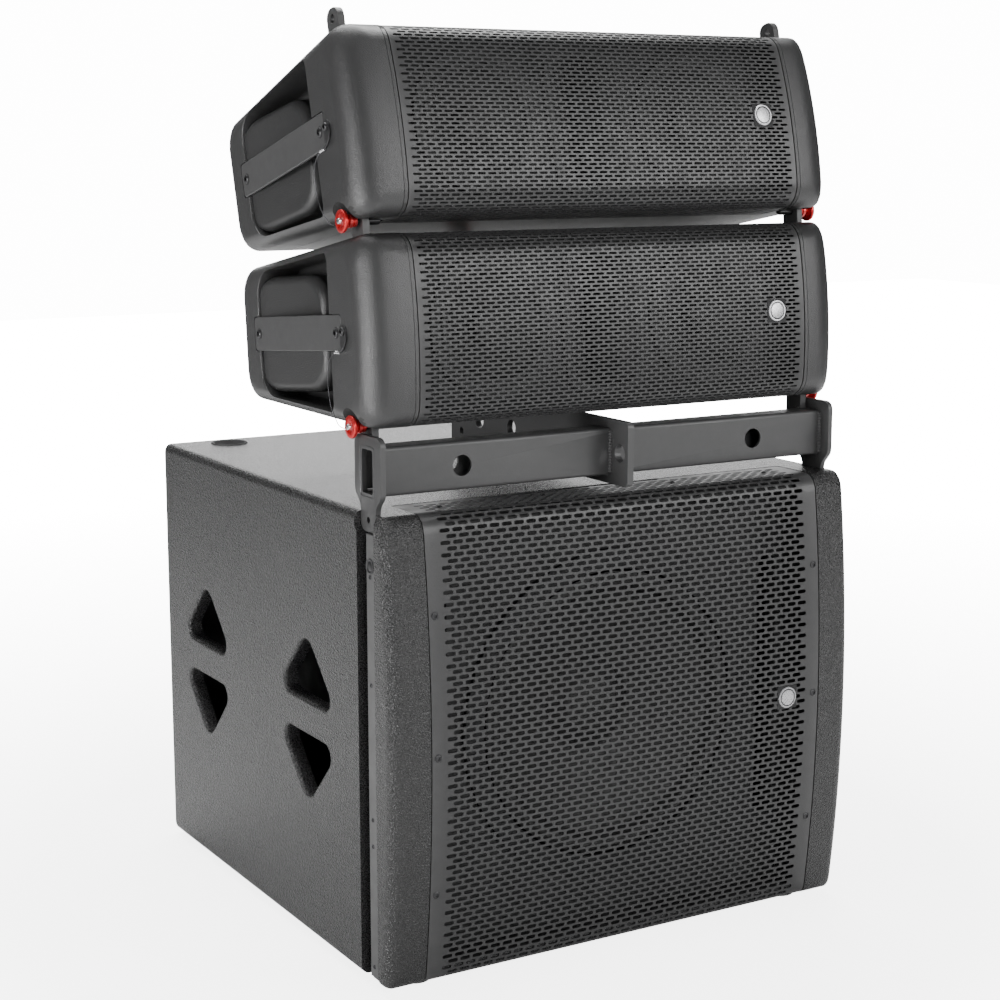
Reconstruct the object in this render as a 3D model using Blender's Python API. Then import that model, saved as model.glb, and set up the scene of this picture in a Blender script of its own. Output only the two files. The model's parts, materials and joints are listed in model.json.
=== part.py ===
"""Ground-stacked line array: a subwoofer cabinet, a steel stacking frame and two wedge boxes.

Units are metres, +Z up. X runs across the stack, the fronts face -Y, and the floor is Z = 0.
The origin is on the floor, midway between the sides and midway between sub front and back.
Each wedge box is modelled in its own frame, whose origin is the axis of its front pins.
"""
import math

import bmesh
import bpy
from mathutils import Matrix, Vector

# Subwoofer cabinet
SUB_HALF_WIDTH = 0.309
SUB_HALF_DEPTH = 0.318
SUB_HEIGHT = 0.520
FOOT_HEIGHT = 0.008
PLY = 0.018
SUB_TOP = FOOT_HEIGHT + SUB_HEIGHT
SUB_MID = FOOT_HEIGHT + SUB_HEIGHT / 2
SUB_BARREL_RADIUS = 1.9
SUB_EDGE_RADIUS = 0.020           # top front edge
SUB_SILL_RADIUS = 0.010           # bottom front edge
SUB_SIDE_RADII = (0.015, 0.005, 0.005)   # front, back and top edges of the sides
JOINT_Y = -0.249                  # plane where the plywood sides end and the front cheeks begin
SUB_OPENING = 0.250               # half width of the front opening
SUB_GRILLE_HALF = 0.262
HOLD_SPAN = 0.132                 # hand holds: width, height and grip bar of each pair
HOLD_HEIGHT = 0.068
GRIP_HALF = 0.0205
HOLD_PLACES = (JOINT_Y + 0.136, JOINT_Y + 0.430)

# Stacking frame
TUBE_FRONT, TUBE_BACK = JOINT_Y - 0.018, JOINT_Y + 0.013
TUBE_LOW, TUBE_HIGH = FOOT_HEIGHT + 0.537, FOOT_HEIGHT + 0.590
TUBE_WALL = 0.004
PLATE_INNER, PLATE_OUTER = 0.295, 0.301
LUG_INNER, LUG_OUTER = 0.283, 0.291
LUG_WIDTH = 0.027
LUG_CROWN = 0.0115                # how far a lug or link plate stands above its hole
SPINE_HALF = 0.004
SPINE_LOW, SPINE_HIGH = FOOT_HEIGHT + 0.527, FOOT_HEIGHT + 0.600
SPINE_NOSE, SPINE_TAIL = JOINT_Y - 0.052, JOINT_Y + 0.347

# Wedge boxes, in their own frame
BOX_HALF_WIDTH = 0.312
BOX_FRONT, BOX_BACK = -0.060, 0.277
BOX_MID = 0.099
BOX_FRONT_HALF = 0.104
BOX_TAPER = math.radians(5.0)
BOX_BARREL_RADIUS = 0.60
BOX_SIDE_RADII = (0.040, 0.026, 0.012)   # front, back and top edges of the sides
BOX_WALL = 0.008
BOX_GRILLE_HALF = 0.255
BOX_CAVITY_HALF = 0.228
RECESS_FRONT, RECESS_BACK = 0.034, 0.218
RECESS_FLOOR = 0.262
LINK_ROOM = 0.0025                # clearance outboard of a link plate where it enters the shell
LINK_HOLE = (-0.003, 0.215)       # (y, z) of the link hole that carries the next box
HANDLE_FRONT, HANDLE_BACK = 0.008, 0.240
HANDLE_HALF = 0.019
LOWER_PIN = (JOINT_Y + 0.018, FOOT_HEIGHT + 0.609)
LOWER_TILT, UPPER_TILT = math.radians(5.0), math.radians(15.0)

# Quick-release pins
SHAFT_RADIUS = 0.00475
BORE_RADIUS = 0.00505
PIN_TIP, PIN_NECK, PIN_STEP, PIN_DISC, PIN_FACE = 0.265, 0.297, 0.3025, 0.3065, 0.3110
BUTTON_RADIUS = 0.0034
BUTTON_TIP = 0.3140

# Rear links
LINK_LOW, LINK_HIGH = 0.0045, 0.0095
BRACKET_PIVOT = (0.307, 0.054)    # (y, z) in the box frame: where its own link hangs
BRACKET_HOLE = (0.3065, 0.170)    # (y, z) in the box frame: where the next box's link is pinned
SPINE_HOLE = (JOINT_Y + 0.3253, FOOT_HEIGHT + 0.591)
LINK_RADIUS = 0.011
SLOT_START, SLOT_END = 0.044, 0.1005
SLOT_HALF = 0.00585

GAP = 0.0003
GRILLE_DEPTH = 0.0018             # back of a grille below the surface around it
GRILLE_SEAT = 0.0023              # floor of the seat a grille lies in
THROUGH = 0.02                    # how far a cutter runs past the surface it opens


# ---------------------------------------------------------------- outlines

def rounded(corners, steps=4):
    """Outline of a polygon whose corners (u, v, radius) are rounded by arcs."""
    outline = []
    for index, (u, v, radius) in enumerate(corners):
        here = Vector((u, v))
        before = (Vector(corners[index - 1][:2]) - here).normalized()
        after = (Vector(corners[(index + 1) % len(corners)][:2]) - here).normalized()
        if radius == 0:
            outline.append((u, v))
            continue
        half = before.angle(after) / 2
        centre = here + (before + after).normalized() * radius / math.sin(half)
        start = here + before * radius / math.tan(half) - centre
        sweep = start.angle_signed(here + after * radius / math.tan(half) - centre)
        for step in range(steps + 1):
            arm = Matrix.Rotation(-sweep * step / steps, 2) @ start
            outline.append(tuple(centre + arm))
    return outline


def rectangle(u0, u1, v0, v1, radius=0.0):
    return rounded([(u0, v0, radius), (u1, v0, radius), (u1, v1, radius), (u0, v1, radius)])


def circle(u, v, radius, sides=20):
    turn = 2 * math.pi / sides
    return [(u + radius * math.cos(i * turn), v + radius * math.sin(i * turn)) for i in range(sides)]


def barrel(front, middle, half, curve_radius, steps=8):
    """Points (y, z) down a vertically bowed front, most forward at mid height."""
    heights = [middle + half * (1 - 2 * i / steps) for i in range(steps + 1)]
    return [(front + (z - middle) ** 2 / (2 * curve_radius), z) for z in heights]


def sub_outline():
    """Side view of the sub cabinet, (y, z)."""
    bow = barrel(-SUB_HALF_DEPTH, SUB_MID, SUB_HEIGHT / 2, SUB_BARREL_RADIUS)
    corners = [(SUB_HALF_DEPTH, FOOT_HEIGHT, 0.006), (SUB_HALF_DEPTH, SUB_TOP, 0.006)]
    corners += [(*bow[0], SUB_EDGE_RADIUS)] + [(*p, 0) for p in bow[1:-1]]
    corners += [(*bow[-1], SUB_SILL_RADIUS)]
    return rounded(corners)


def box_half_height(y):
    return BOX_FRONT_HALF - (y - BOX_FRONT) * math.tan(BOX_TAPER)


def wedge(front, back, inset, front_radius, back_radius):
    """Tapered outline (y, z) that follows the box's top and bottom, inset from them."""
    near, far = box_half_height(front) - inset, box_half_height(back) - inset
    return rounded([(back, BOX_MID - far, back_radius), (back, BOX_MID + far, back_radius),
                    (front, BOX_MID + near, front_radius), (front, BOX_MID - near, front_radius)])


def box_outline():
    """Side view of a wedge box, (y, z)."""
    bow = barrel(BOX_FRONT, BOX_MID, BOX_FRONT_HALF, BOX_BARREL_RADIUS, 6)
    rear = box_half_height(BOX_BACK)
    corners = [(BOX_BACK, BOX_MID - rear, 0.030), (BOX_BACK, BOX_MID + rear, 0.030)]
    corners += [(*bow[0], 0.028)] + [(*p, 0) for p in bow[1:-1]] + [(*bow[-1], 0.028)]
    return rounded(corners)


def normals(outline):
    """Outward unit normals of a closed outline, one for each point."""
    found = []
    for index, here in enumerate(outline):
        along = Vector(outline[(index + 1) % len(outline)]) - Vector(outline[index - 1])
        found.append(Vector((along.y, -along.x)).normalized())
    area = sum(a[0] * b[1] - b[0] * a[1] for a, b in zip(outline, outline[1:] + outline[:1]))
    return found if area > 0 else [-n for n in found]


def crossing(inside, outside, limit_y):
    """Point of the segment between two outline points where it meets the plane y = limit_y."""
    share = (limit_y - inside.x) / (outside.x - inside.x)
    return inside + (outside - inside) * share


def wrap(outline, limit_y, outer, inner):
    """Thin closed band that follows the part of an outline in front of limit_y."""
    points, facing = [Vector(p) for p in outline], normals(outline)
    kept = [i for i, p in enumerate(points) if p.x < limit_y]
    first, last = kept[0], kept[-1]
    path = [(points[i], facing[i]) for i in kept]
    before, after = points[first - 1], points[(last + 1) % len(points)]
    for index, neighbour in ((0, before), (-1, after)):
        edge = crossing(path[index][0], neighbour, limit_y)
        square = Vector((0, math.copysign(1, edge.y - (before.y + after.y) / 2)))
        if index == 0:
            path.insert(0, (edge, square))
        else:
            path.append((edge, square))
    band = [tuple(p + n * outer) for p, n in path]
    return band + [tuple(p + n * inner) for p, n in reversed(path)]


# ---------------------------------------------------------------- solids

def ring_of(bm, outline, place):
    return [bm.verts.new(place(u, v)) for u, v in outline]


def bridge(bm, first, second):
    for index in range(len(first)):
        after = (index + 1) % len(first)
        bm.faces.new((first[index], first[after], second[after], second[index]))


def extrude(bm, outline, low, high, axis="X"):
    """Closed prism: the outline lies in the plane across the axis."""
    placers = {"X": lambda d: lambda u, v: (d, u, v),
               "Y": lambda d: lambda u, v: (u, d, v),
               "Z": lambda d: lambda u, v: (u, v, d)}
    rings = [ring_of(bm, outline, placers[axis](d)) for d in (low, high)]
    bridge(bm, *rings)
    for ring in rings:
        bm.faces.new(ring)


def slab(bm, x, y, z, radius=0.0):
    """Block between (low, high) limits on each axis, its X-facing outline rounded."""
    extrude(bm, rectangle(*y, *z, radius), *x)


def turn(bm, profile, centre, axis="X", sides=24, hollow=False):
    """Solid of revolution from (distance along the axis, radius) pairs."""
    rings = []
    for along, radius in profile:
        placers = {"X": lambda u, v, d=along: (d, centre[0] + u, centre[1] + v),
                   "Y": lambda u, v, d=along: (centre[0] + u, d, centre[1] + v),
                   "Z": lambda u, v, d=along: (centre[0] + u, centre[1] + v, d)}
        rings.append(ring_of(bm, circle(0, 0, radius, sides), placers[axis]))
    for first, second in zip(rings, rings[1:]):
        bridge(bm, first, second)
    if hollow:
        bridge(bm, rings[-1], rings[0])
    else:
        bm.faces.new(rings[0])
        bm.faces.new(rings[-1])


def pillow(bm, outline, half_width, radii, steps=4):
    """The outline extruded to both sides, with side edges rounded by (front, back, top) radii."""
    front, back, top = radii
    y_low, y_high = min(p[0] for p in outline), max(p[0] for p in outline)
    z_low, z_high = min(p[1] for p in outline), max(p[1] for p in outline)
    middle, half = (z_low + z_high) / 2, (z_high - z_low) / 2
    rings = []
    for sign in (-1, 1):
        side = []
        for step in range(steps + 1):
            angle = math.pi / 2 * step / steps
            pull = 1 - math.cos(angle)
            ring = []
            for (y, z), normal in zip(outline, normals(outline)):
                facing = max(0.0, -normal.x) ** 2 * front + max(0.0, normal.x) ** 2 * back
                x = half_width - (facing + normal.y ** 2 * top) * (1 - math.sin(angle))
                nearness = (y_high - y) / (y_high - y_low)
                shift = (front * nearness - back * (1 - nearness)) * pull
                squeeze = 1 - top / half * pull
                ring.append(bm.verts.new((sign * x, y + shift, middle + (z - middle) * squeeze)))
            side.append(ring)
        rings = side[::-1] if sign < 0 else rings + side
    for first, second in zip(rings, rings[1:]):
        bridge(bm, first, second)
    bm.faces.new(rings[0])
    bm.faces.new(rings[-1])


def oval_loft(bm, sections, centre, sides=24):
    """Loft along Y through rounded-square sections (y, half width, half height)."""
    rings = []
    for y, half_x, half_z in sections:
        ring = []
        for index in range(sides):
            angle = 2 * math.pi * index / sides
            c, s = math.cos(angle), math.sin(angle)
            square = (abs(c) ** 6 + abs(s) ** 6) ** (-1 / 6)
            ring.append(bm.verts.new((centre[0] + half_x * c * square, y, centre[1] + half_z * s * square)))
        rings.append(ring)
    for first, second in zip(rings, rings[1:]):
        bridge(bm, first, second)
    bm.faces.new(rings[0])
    bm.faces.new(rings[-1])


# ---------------------------------------------------------------- objects

def material(name, colour, roughness, metallic=0.0):
    found = bpy.data.materials.get(name) or bpy.data.materials.new(name)
    found.use_nodes = True
    shader = found.node_tree.nodes["Principled BSDF"]
    shader.inputs["Base Color"].default_value = (*colour, 1)
    shader.inputs["Roughness"].default_value = roughness
    shader.inputs["Metallic"].default_value = metallic
    return found


def textured_paint(name):
    return material(name, (0.022, 0.022, 0.023), 0.62)


def moulded_plastic(name):
    return material(name, (0.026, 0.026, 0.027), 0.55)


def coated_steel(name):
    return material(name, (0.024, 0.024, 0.025), 0.45, 0.2)


def driver_black(name):
    return material(name, (0.012, 0.012, 0.013), 0.5)


def red_anodised(name):
    return material(name, (0.62, 0.01, 0.012), 0.28, 0.85)


def bright_metal(name):
    return material(name, (0.75, 0.75, 0.76), 0.25, 1.0)


def black_rubber(name):
    return material(name, (0.015, 0.015, 0.015), 0.85)


def empty(name, place, tilt=0.0, parent=None):
    """Locator on a joint axis, tipped back about X."""
    found = bpy.data.objects.new(name, None)
    bpy.context.scene.collection.objects.link(found)
    found.parent = parent
    found.location = place
    found.rotation_euler.x = -tilt
    return found


def solid(name, bm, finish, parent=None, origin=(0, 0, 0)):
    """Named object from closed shapes, with its origin where it moves about."""
    bmesh.ops.translate(bm, verts=bm.verts, vec=-Vector(origin))
    bmesh.ops.recalc_face_normals(bm, faces=bm.faces)
    mesh = bpy.data.meshes.new(name)
    bm.to_mesh(mesh)
    bm.free()
    mesh.shade_smooth()
    mesh.set_sharp_from_angle(angle=math.radians(35))
    found = bpy.data.objects.new(name, mesh)
    bpy.context.scene.collection.objects.link(found)
    found.parent = parent
    found.location = origin
    if finish:
        mesh.materials.append(finish(name))
    return found


def combine(target, bm, operation="DIFFERENCE"):
    """Cut the shapes out of the target, or join them to it."""
    count = len(target.modifiers)
    tool = solid(f"{target.name}_tool_{count}", bm, None, target.parent)
    tool.hide_render = True
    tool.display_type = "WIRE"
    step = target.modifiers.new(tool.name, "BOOLEAN")
    step.object = tool
    step.operation = operation
    step.solver = "EXACT"


def mirrored(limits, side):
    low, high = limits
    return (low, high) if side > 0 else (-high, -low)


# ---------------------------------------------------------------- subwoofer

def hold_triangle(y, up):
    """Rounded triangle of one hand hold, above or below the grip bar."""
    base, tip = SUB_MID + up * GRIP_HALF, SUB_MID + up * (GRIP_HALF + HOLD_HEIGHT + 0.012)
    return rounded([(y - HOLD_SPAN / 2, base, 0.012), (y + HOLD_SPAN / 2, base, 0.012), (y, tip, 0.018)])


def groove_outline(side):
    """Plan view (x, y) of the deep groove and the shallower strip seat beside it."""
    points = [(0.33, JOINT_Y + 0.009), (0.289, JOINT_Y + 0.009), (0.289, JOINT_Y - 0.0126),
              (0.298, JOINT_Y - 0.0126), (0.298, JOINT_Y - 0.0308), (0.33, JOINT_Y - 0.0308)]
    return [(side * x, y) for x, y in points]


def sub_room_outline():
    """Plan view (x, y) of the room inside: the front opening and the wider chamber behind."""
    chamber = SUB_HALF_WIDTH - PLY
    neck, rear = JOINT_Y + 0.020, SUB_HALF_DEPTH - PLY
    return [(-SUB_OPENING, -0.40), (SUB_OPENING, -0.40), (SUB_OPENING, neck), (chamber, neck),
            (chamber, rear), (-chamber, rear), (-chamber, neck), (-SUB_OPENING, neck)]


def cup_places():
    return [(sx * (SUB_HALF_WIDTH - 0.076), y) for sx in (-1, 1) for y in (JOINT_Y + 0.060, 0.278)]


def build_sub_cabinet():
    bm = bmesh.new()
    pillow(bm, sub_outline(), SUB_HALF_WIDTH, SUB_SIDE_RADII)
    cabinet = solid("sub_cabinet", bm, textured_paint)

    bm = bmesh.new()
    extrude(bm, sub_room_outline(), FOOT_HEIGHT + PLY, SUB_TOP - PLY, "Z")
    combine(cabinet, bm)

    bm = bmesh.new()
    seat = wrap(sub_outline(), JOINT_Y - 0.004, THROUGH, -GRILLE_SEAT)
    extrude(bm, seat, -SUB_GRILLE_HALF - GAP, SUB_GRILLE_HALF + GAP)
    combine(cabinet, bm)

    bm = bmesh.new()
    for side in (-1, 1):
        extrude(bm, groove_outline(side), -THROUGH, SUB_TOP + THROUGH, "Z")
    for y in HOLD_PLACES:
        for up in (-1, 1):
            extrude(bm, hold_triangle(y, up), -0.34, 0.34)
    for place in cup_places():
        turn(bm, [(SUB_TOP - 0.008, 0.0215), (SUB_TOP + THROUGH, 0.0215)], place, "Z")
    extrude(bm, rectangle(-0.14, 0.14, FOOT_HEIGHT + 0.12, FOOT_HEIGHT + 0.42, 0.004), 0.29, 0.34, "Y")
    combine(cabinet, bm)

    bm = bmesh.new()
    for side in (-1, 1):
        limits = (PLATE_INNER - GAP, SUB_HALF_WIDTH + THROUGH)
        slab(bm, mirrored(limits, side), (JOINT_Y - 0.022, JOINT_Y + 0.014),
             (FOOT_HEIGHT + 0.4985, SUB_TOP + THROUGH), 0.008)
    combine(cabinet, bm)


def build_sub_baffle():
    front, back = JOINT_Y - 0.012, JOINT_Y + 0.006
    bm = bmesh.new()
    inner = SUB_OPENING - GAP
    slab(bm, (-inner, inner), (front, back), (FOOT_HEIGHT + PLY + GAP, SUB_TOP - PLY - GAP))
    baffle = solid("sub_baffle", bm, textured_paint)
    bm = bmesh.new()
    turn(bm, [(front - THROUGH, 0.178), (back + THROUGH, 0.178)], (0, SUB_MID), "Y", 40)
    for side in (-1, 1):
        slot = rectangle(*mirrored((0.212, 0.238), side), SUB_MID - 0.16, SUB_MID + 0.16, 0.012)
        extrude(bm, slot, front - THROUGH, back + THROUGH, "Y")
    combine(baffle, bm)
    return front


def build_sub_woofer(mount):
    """Driver on the front of the baffle; mount is the baffle's front face."""
    face = mount - GAP
    bm = bmesh.new()
    profile = [(-0.006, 0.169), (-0.006, 0.193), (0, 0.193), (0, 0.1765), (0.022, 0.172),
               (0.100, 0.105), (0.118, 0.096), (0.118, 0.100), (0.168, 0.100), (0.168, 0.020),
               (0.122, 0.020), (0.106, 0.078), (0.018, 0.166)]
    turn(bm, [(face + along, radius) for along, radius in profile], (0, SUB_MID), "Y", 32, True)
    solid("sub_woofer_frame", bm, driver_black)
    bm = bmesh.new()
    profile = [(0.030, 0.012), (0.036, 0.034), (0.050, 0.052), (0.046, 0.056), (0.004, 0.142),
               (-0.006, 0.150), (-0.008, 0.158), (-0.004, 0.166), (0.002, 0.164), (0.004, 0.157),
               (0.010, 0.146), (0.056, 0.056), (0.060, 0.012)]
    turn(bm, [(face + along, radius) for along, radius in profile], (0, SUB_MID), "Y", 32)
    solid("sub_woofer_cone", bm, driver_black)


def build_sub_grille():
    bm = bmesh.new()
    extrude(bm, wrap(sub_outline(), JOINT_Y - 0.005, -GAP, -GRILLE_DEPTH), -SUB_GRILLE_HALF, SUB_GRILLE_HALF)
    solid("sub_grille", bm, coated_steel)


def build_side_strip(side, name):
    bm = bmesh.new()
    low, high = FOOT_HEIGHT + 0.004, FOOT_HEIGHT + 0.498
    slab(bm, mirrored((0.2983, 0.3010), side), (JOINT_Y - 0.0304, JOINT_Y - 0.0129), (low, high), 0.001)
    strip = solid(name, bm, coated_steel)
    bm = bmesh.new()
    for height in (0.012, 0.150, 0.330, 0.470):
        turn(bm, [(side * 0.28, 0.0035), (side * 0.32, 0.0035)], (JOINT_Y - 0.0216, low + height), "X", 12)
    combine(strip, bm)


def build_hand_cup(side, name):
    """Tub behind the hand holds, open towards the cabinet side."""
    wall_face = SUB_HALF_WIDTH - PLY - GAP
    y0, y1 = JOINT_Y + 0.045, JOINT_Y + 0.520
    z0, z1 = SUB_MID - 0.110, SUB_MID + 0.110
    bm = bmesh.new()
    slab(bm, mirrored((wall_face - 0.075, wall_face), side), (y0, y1), (z0, z1))
    cup = solid(name, bm, textured_paint)
    bm = bmesh.new()
    slab(bm, mirrored((wall_face - 0.069, wall_face + THROUGH), side), (y0 + 0.006, y1 - 0.006),
         (z0 + 0.006, z1 - 0.006))
    combine(cup, bm)


def build_amplifier():
    """Amplifier plate in the rear opening, with its cooling fins and level knob."""
    z0, z1 = FOOT_HEIGHT + 0.12 + GAP, FOOT_HEIGHT + 0.42 - GAP
    bm = bmesh.new()
    extrude(bm, rectangle(-0.14 + GAP, 0.14 - GAP, z0, z1, 0.004), 0.300, 0.303, "Y")
    solid("sub_amp_panel", bm, coated_steel)
    bm = bmesh.new()
    fins, pitch, thin = 9, 0.014, 0.003
    comb = []
    for index in range(fins):
        x = (index - (fins - 1) / 2) * pitch
        comb += [(x - thin / 2, 0.307), (x - thin / 2, 0.3165), (x + thin / 2, 0.3165), (x + thin / 2, 0.307)]
    left, right = comb[0][0], comb[-1][0]
    comb = comb[1:-1] + [(right, 0.3033), (left, 0.3033)]
    extrude(bm, comb, FOOT_HEIGHT + 0.22, FOOT_HEIGHT + 0.40, "Z")
    solid("sub_heatsink", bm, coated_steel)
    bm = bmesh.new()
    centre = (0.085, FOOT_HEIGHT + 0.165)
    profile = [(0.3033, 0.0085), (0.3060, 0.0095), (0.3080, 0.0080), (0.3165, 0.0070)]
    turn(bm, profile, centre, "Y", 24)
    knob_origin = (centre[0], 0.3033, centre[1])
    solid("sub_level_knob", bm, moulded_plastic, None, knob_origin)


def build_feet():
    names = ("foot_left_front", "foot_left_rear", "foot_right_front", "foot_right_rear")
    places = [(sx * 0.255, sy * 0.262) for sx in (-1, 1) for sy in (-1, 1)]
    for name, place in zip(names, places):
        bm = bmesh.new()
        turn(bm, [(0, 0.0165), (0.0015, 0.018), (FOOT_HEIGHT - GAP, 0.020)], place, "Z")
        solid(name, bm, black_rubber)


def build_sub():
    build_sub_cabinet()
    mount = build_sub_baffle()
    build_sub_woofer(mount)
    build_sub_grille()
    for side, word in ((-1, "left"), (1, "right")):
        build_side_strip(side, f"side_strip_{word}")
        build_hand_cup(side, f"hand_cup_{word}")
    build_amplifier()
    build_feet()


# ---------------------------------------------------------------- stacking frame

def build_tube(side, name):
    bm = bmesh.new()
    limits = mirrored((SPINE_HALF + GAP, PLATE_INNER - GAP), side)
    slab(bm, limits, (TUBE_FRONT, TUBE_BACK), (TUBE_LOW, TUBE_HIGH), 0.004)
    tube = solid(name, bm, coated_steel)
    bm = bmesh.new()
    inside = (limits[0] - THROUGH, limits[1] + THROUGH)
    slab(bm, inside, (TUBE_FRONT + TUBE_WALL, TUBE_BACK - TUBE_WALL),
         (TUBE_LOW + TUBE_WALL, TUBE_HIGH - TUBE_WALL), 0.002)
    combine(tube, bm)
    bm = bmesh.new()
    hole = circle(side * 0.195, (TUBE_LOW + TUBE_HIGH) / 2, 0.0105, 24)
    extrude(bm, hole, TUBE_FRONT - THROUGH, TUBE_BACK + THROUGH, "Y")
    combine(tube, bm)


def end_plate_outline():
    """Wide over the tube's end, then drawn in to the lug that hangs into the sub's side."""
    base = FOOT_HEIGHT
    front, back = JOINT_Y - 0.034, JOINT_Y + 0.027
    lug_front, lug_back = JOINT_Y - 0.0215, JOINT_Y + 0.0135
    return rounded([(front, base + 0.6015, 0.010), (front, base + 0.540, 0.014),
                    (lug_front, base + 0.526, 0.012), (lug_front, base + 0.499, 0.010),
                    (lug_back, base + 0.499, 0.010), (lug_back, base + 0.526, 0.012),
                    (back, base + 0.540, 0.014), (back, base + 0.6015, 0.010)])


def build_end_plate(side, name):
    bm = bmesh.new()
    extrude(bm, end_plate_outline(), *mirrored((PLATE_INNER, PLATE_OUTER), side))
    plate = solid(name, bm, coated_steel)
    bm = bmesh.new()
    through = mirrored((PLATE_INNER - THROUGH, PLATE_OUTER + THROUGH), side)
    slab(bm, through, (TUBE_FRONT + 0.007, TUBE_BACK - 0.007), (TUBE_LOW + 0.004, TUBE_HIGH - 0.004), 0.002)
    extrude(bm, circle(JOINT_Y - 0.004, FOOT_HEIGHT + 0.512, 0.0035, 16), *through)
    combine(plate, bm)


def build_frame_lug(side, name):
    """Upright behind and above the tube that carries the lower box's front pin."""
    y, z = LOWER_PIN
    front, back = y - LUG_WIDTH / 2, y + LUG_WIDTH / 2
    corners = [(TUBE_BACK + GAP, TUBE_LOW + 0.006, 0), (back, TUBE_LOW + 0.006, 0.004),
               (back, z + LUG_CROWN, 0.0112), (front, z + LUG_CROWN, 0.0112),
               (front, TUBE_HIGH + GAP, 0), (TUBE_BACK + GAP, TUBE_HIGH + GAP, 0)]
    bm = bmesh.new()
    extrude(bm, rounded(corners), *mirrored((LUG_INNER, LUG_OUTER), side))
    lug = solid(name, bm, coated_steel)
    bm = bmesh.new()
    through = mirrored((LUG_INNER - THROUGH, LUG_OUTER + THROUGH), side)
    extrude(bm, circle(y, z, BORE_RADIUS), *through)
    combine(lug, bm)


def build_spine():
    """Central upright plate, its nose in front of the tube and its tail under the lower box."""
    ear = FOOT_HEIGHT + 0.605
    hole_y, hole_z = SPINE_HOLE
    corners = [(SPINE_NOSE, SPINE_LOW, 0.007), (SPINE_TAIL, SPINE_LOW, 0.007), (SPINE_TAIL, ear, 0.010),
               (hole_y - 0.024, ear, 0.008), (hole_y - 0.034, SPINE_HIGH, 0.008),
               (SPINE_NOSE, SPINE_HIGH, 0.007)]
    bm = bmesh.new()
    extrude(bm, rounded(corners), -SPINE_HALF, SPINE_HALF)
    spine = solid("frame_spine", bm, coated_steel)
    bm = bmesh.new()
    mid = (TUBE_LOW + TUBE_HIGH) / 2
    holes = [(JOINT_Y - 0.036, mid, 0.010), (JOINT_Y + 0.1355, mid, 0.0045), (JOINT_Y + 0.199, mid, 0.010),
             (JOINT_Y + 0.276, mid, 0.010), (JOINT_Y + 0.321, FOOT_HEIGHT + 0.545, 0.0045),
             (hole_y, hole_z, BORE_RADIUS)]
    for y, z, radius in holes:
        extrude(bm, circle(y, z, radius), -THROUGH, THROUGH)
    combine(spine, bm)


def build_frame():
    build_spine()
    for side, word in ((-1, "left"), (1, "right")):
        build_tube(side, f"frame_tube_{word}")
        build_end_plate(side, f"frame_end_plate_{word}")
        build_frame_lug(side, f"frame_lug_{word}")


# ---------------------------------------------------------------- wedge boxes

def build_box_shell(box, frame):
    bm = bmesh.new()
    pillow(bm, box_outline(), BOX_HALF_WIDTH, BOX_SIDE_RADII)
    shell = solid(f"{box}_shell", bm, moulded_plastic, frame)

    bm = bmesh.new()
    seat = wrap(box_outline(), 0.020, THROUGH, -GRILLE_SEAT)
    extrude(bm, seat, -BOX_GRILLE_HALF - GAP, BOX_GRILLE_HALF + GAP)
    combine(shell, bm)

    bm = bmesh.new()
    room = wedge(-0.090, BOX_BACK - 0.022, BOX_WALL, 0.0, 0.020)
    extrude(bm, room, -BOX_CAVITY_HALF, BOX_CAVITY_HALF)
    for side in (-1, 1):
        recess = wedge(RECESS_FRONT, RECESS_BACK, 0.010, 0.010, 0.034)
        extrude(bm, recess, *mirrored((RECESS_FLOOR, BOX_HALF_WIDTH + THROUGH), side))
        slab(bm, mirrored((LUG_INNER - 0.0015, LUG_OUTER + 0.0015), side), (-0.026, 0.026), (-0.03, 0.036))
        y, z = LINK_HOLE
        slab(bm, mirrored((LUG_INNER - GAP, LUG_OUTER + LINK_ROOM), side),
             (y - LUG_WIDTH / 2 - GAP, y + LUG_WIDTH / 2 + GAP), (0.150, 0.230))
    combine(shell, bm)

    bm = bmesh.new()
    extrude(bm, rectangle(0.0747, 0.1753, 0.0717, 0.1263, 0.003), 0.25, 0.30, "Y")
    for side in (-1, 1):
        turn(bm, [(side * 0.2955, 0.0080), (side * 0.322, 0.0212)], (0, 0), "X")
        seat = mirrored((0.3078, BOX_HALF_WIDTH + THROUGH), side)
        slab(bm, seat, (HANDLE_FRONT - GAP, HANDLE_BACK + GAP),
             (BOX_MID - HANDLE_HALF - GAP, BOX_MID + HANDLE_HALF + GAP), 0.003)
    combine(shell, bm)

    bm = bmesh.new()
    for side in (-1, 1):
        turn(bm, [(side * (PIN_TIP - 0.002), BORE_RADIUS), (side * 0.302, BORE_RADIUS)], (0, 0), "X", 20)
    combine(shell, bm)


def build_box_grille(box, frame):
    bm = bmesh.new()
    extrude(bm, wrap(box_outline(), 0.0193, -GAP, -GRILLE_DEPTH), -BOX_GRILLE_HALF, BOX_GRILLE_HALF)
    solid(f"{box}_grille", bm, coated_steel, frame)


def build_box_baffle(box, frame):
    front, back = -0.021, -0.009
    bm = bmesh.new()
    inner = BOX_CAVITY_HALF - GAP
    extrude(bm, wedge(front, back, BOX_WALL + GAP, 0, 0), -inner, inner)
    baffle = solid(f"{box}_baffle", bm, moulded_plastic, frame)
    bm = bmesh.new()
    for side in (-1, 1):
        turn(bm, [(front - THROUGH, 0.070), (back + THROUGH, 0.070)], (side * 0.142, BOX_MID), "Y", 32)
    horn = rectangle(-0.048, 0.048, BOX_MID - 0.073, BOX_MID + 0.073, 0.006)
    extrude(bm, horn, front - THROUGH, back + THROUGH, "Y")
    combine(baffle, bm)
    return front


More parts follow.
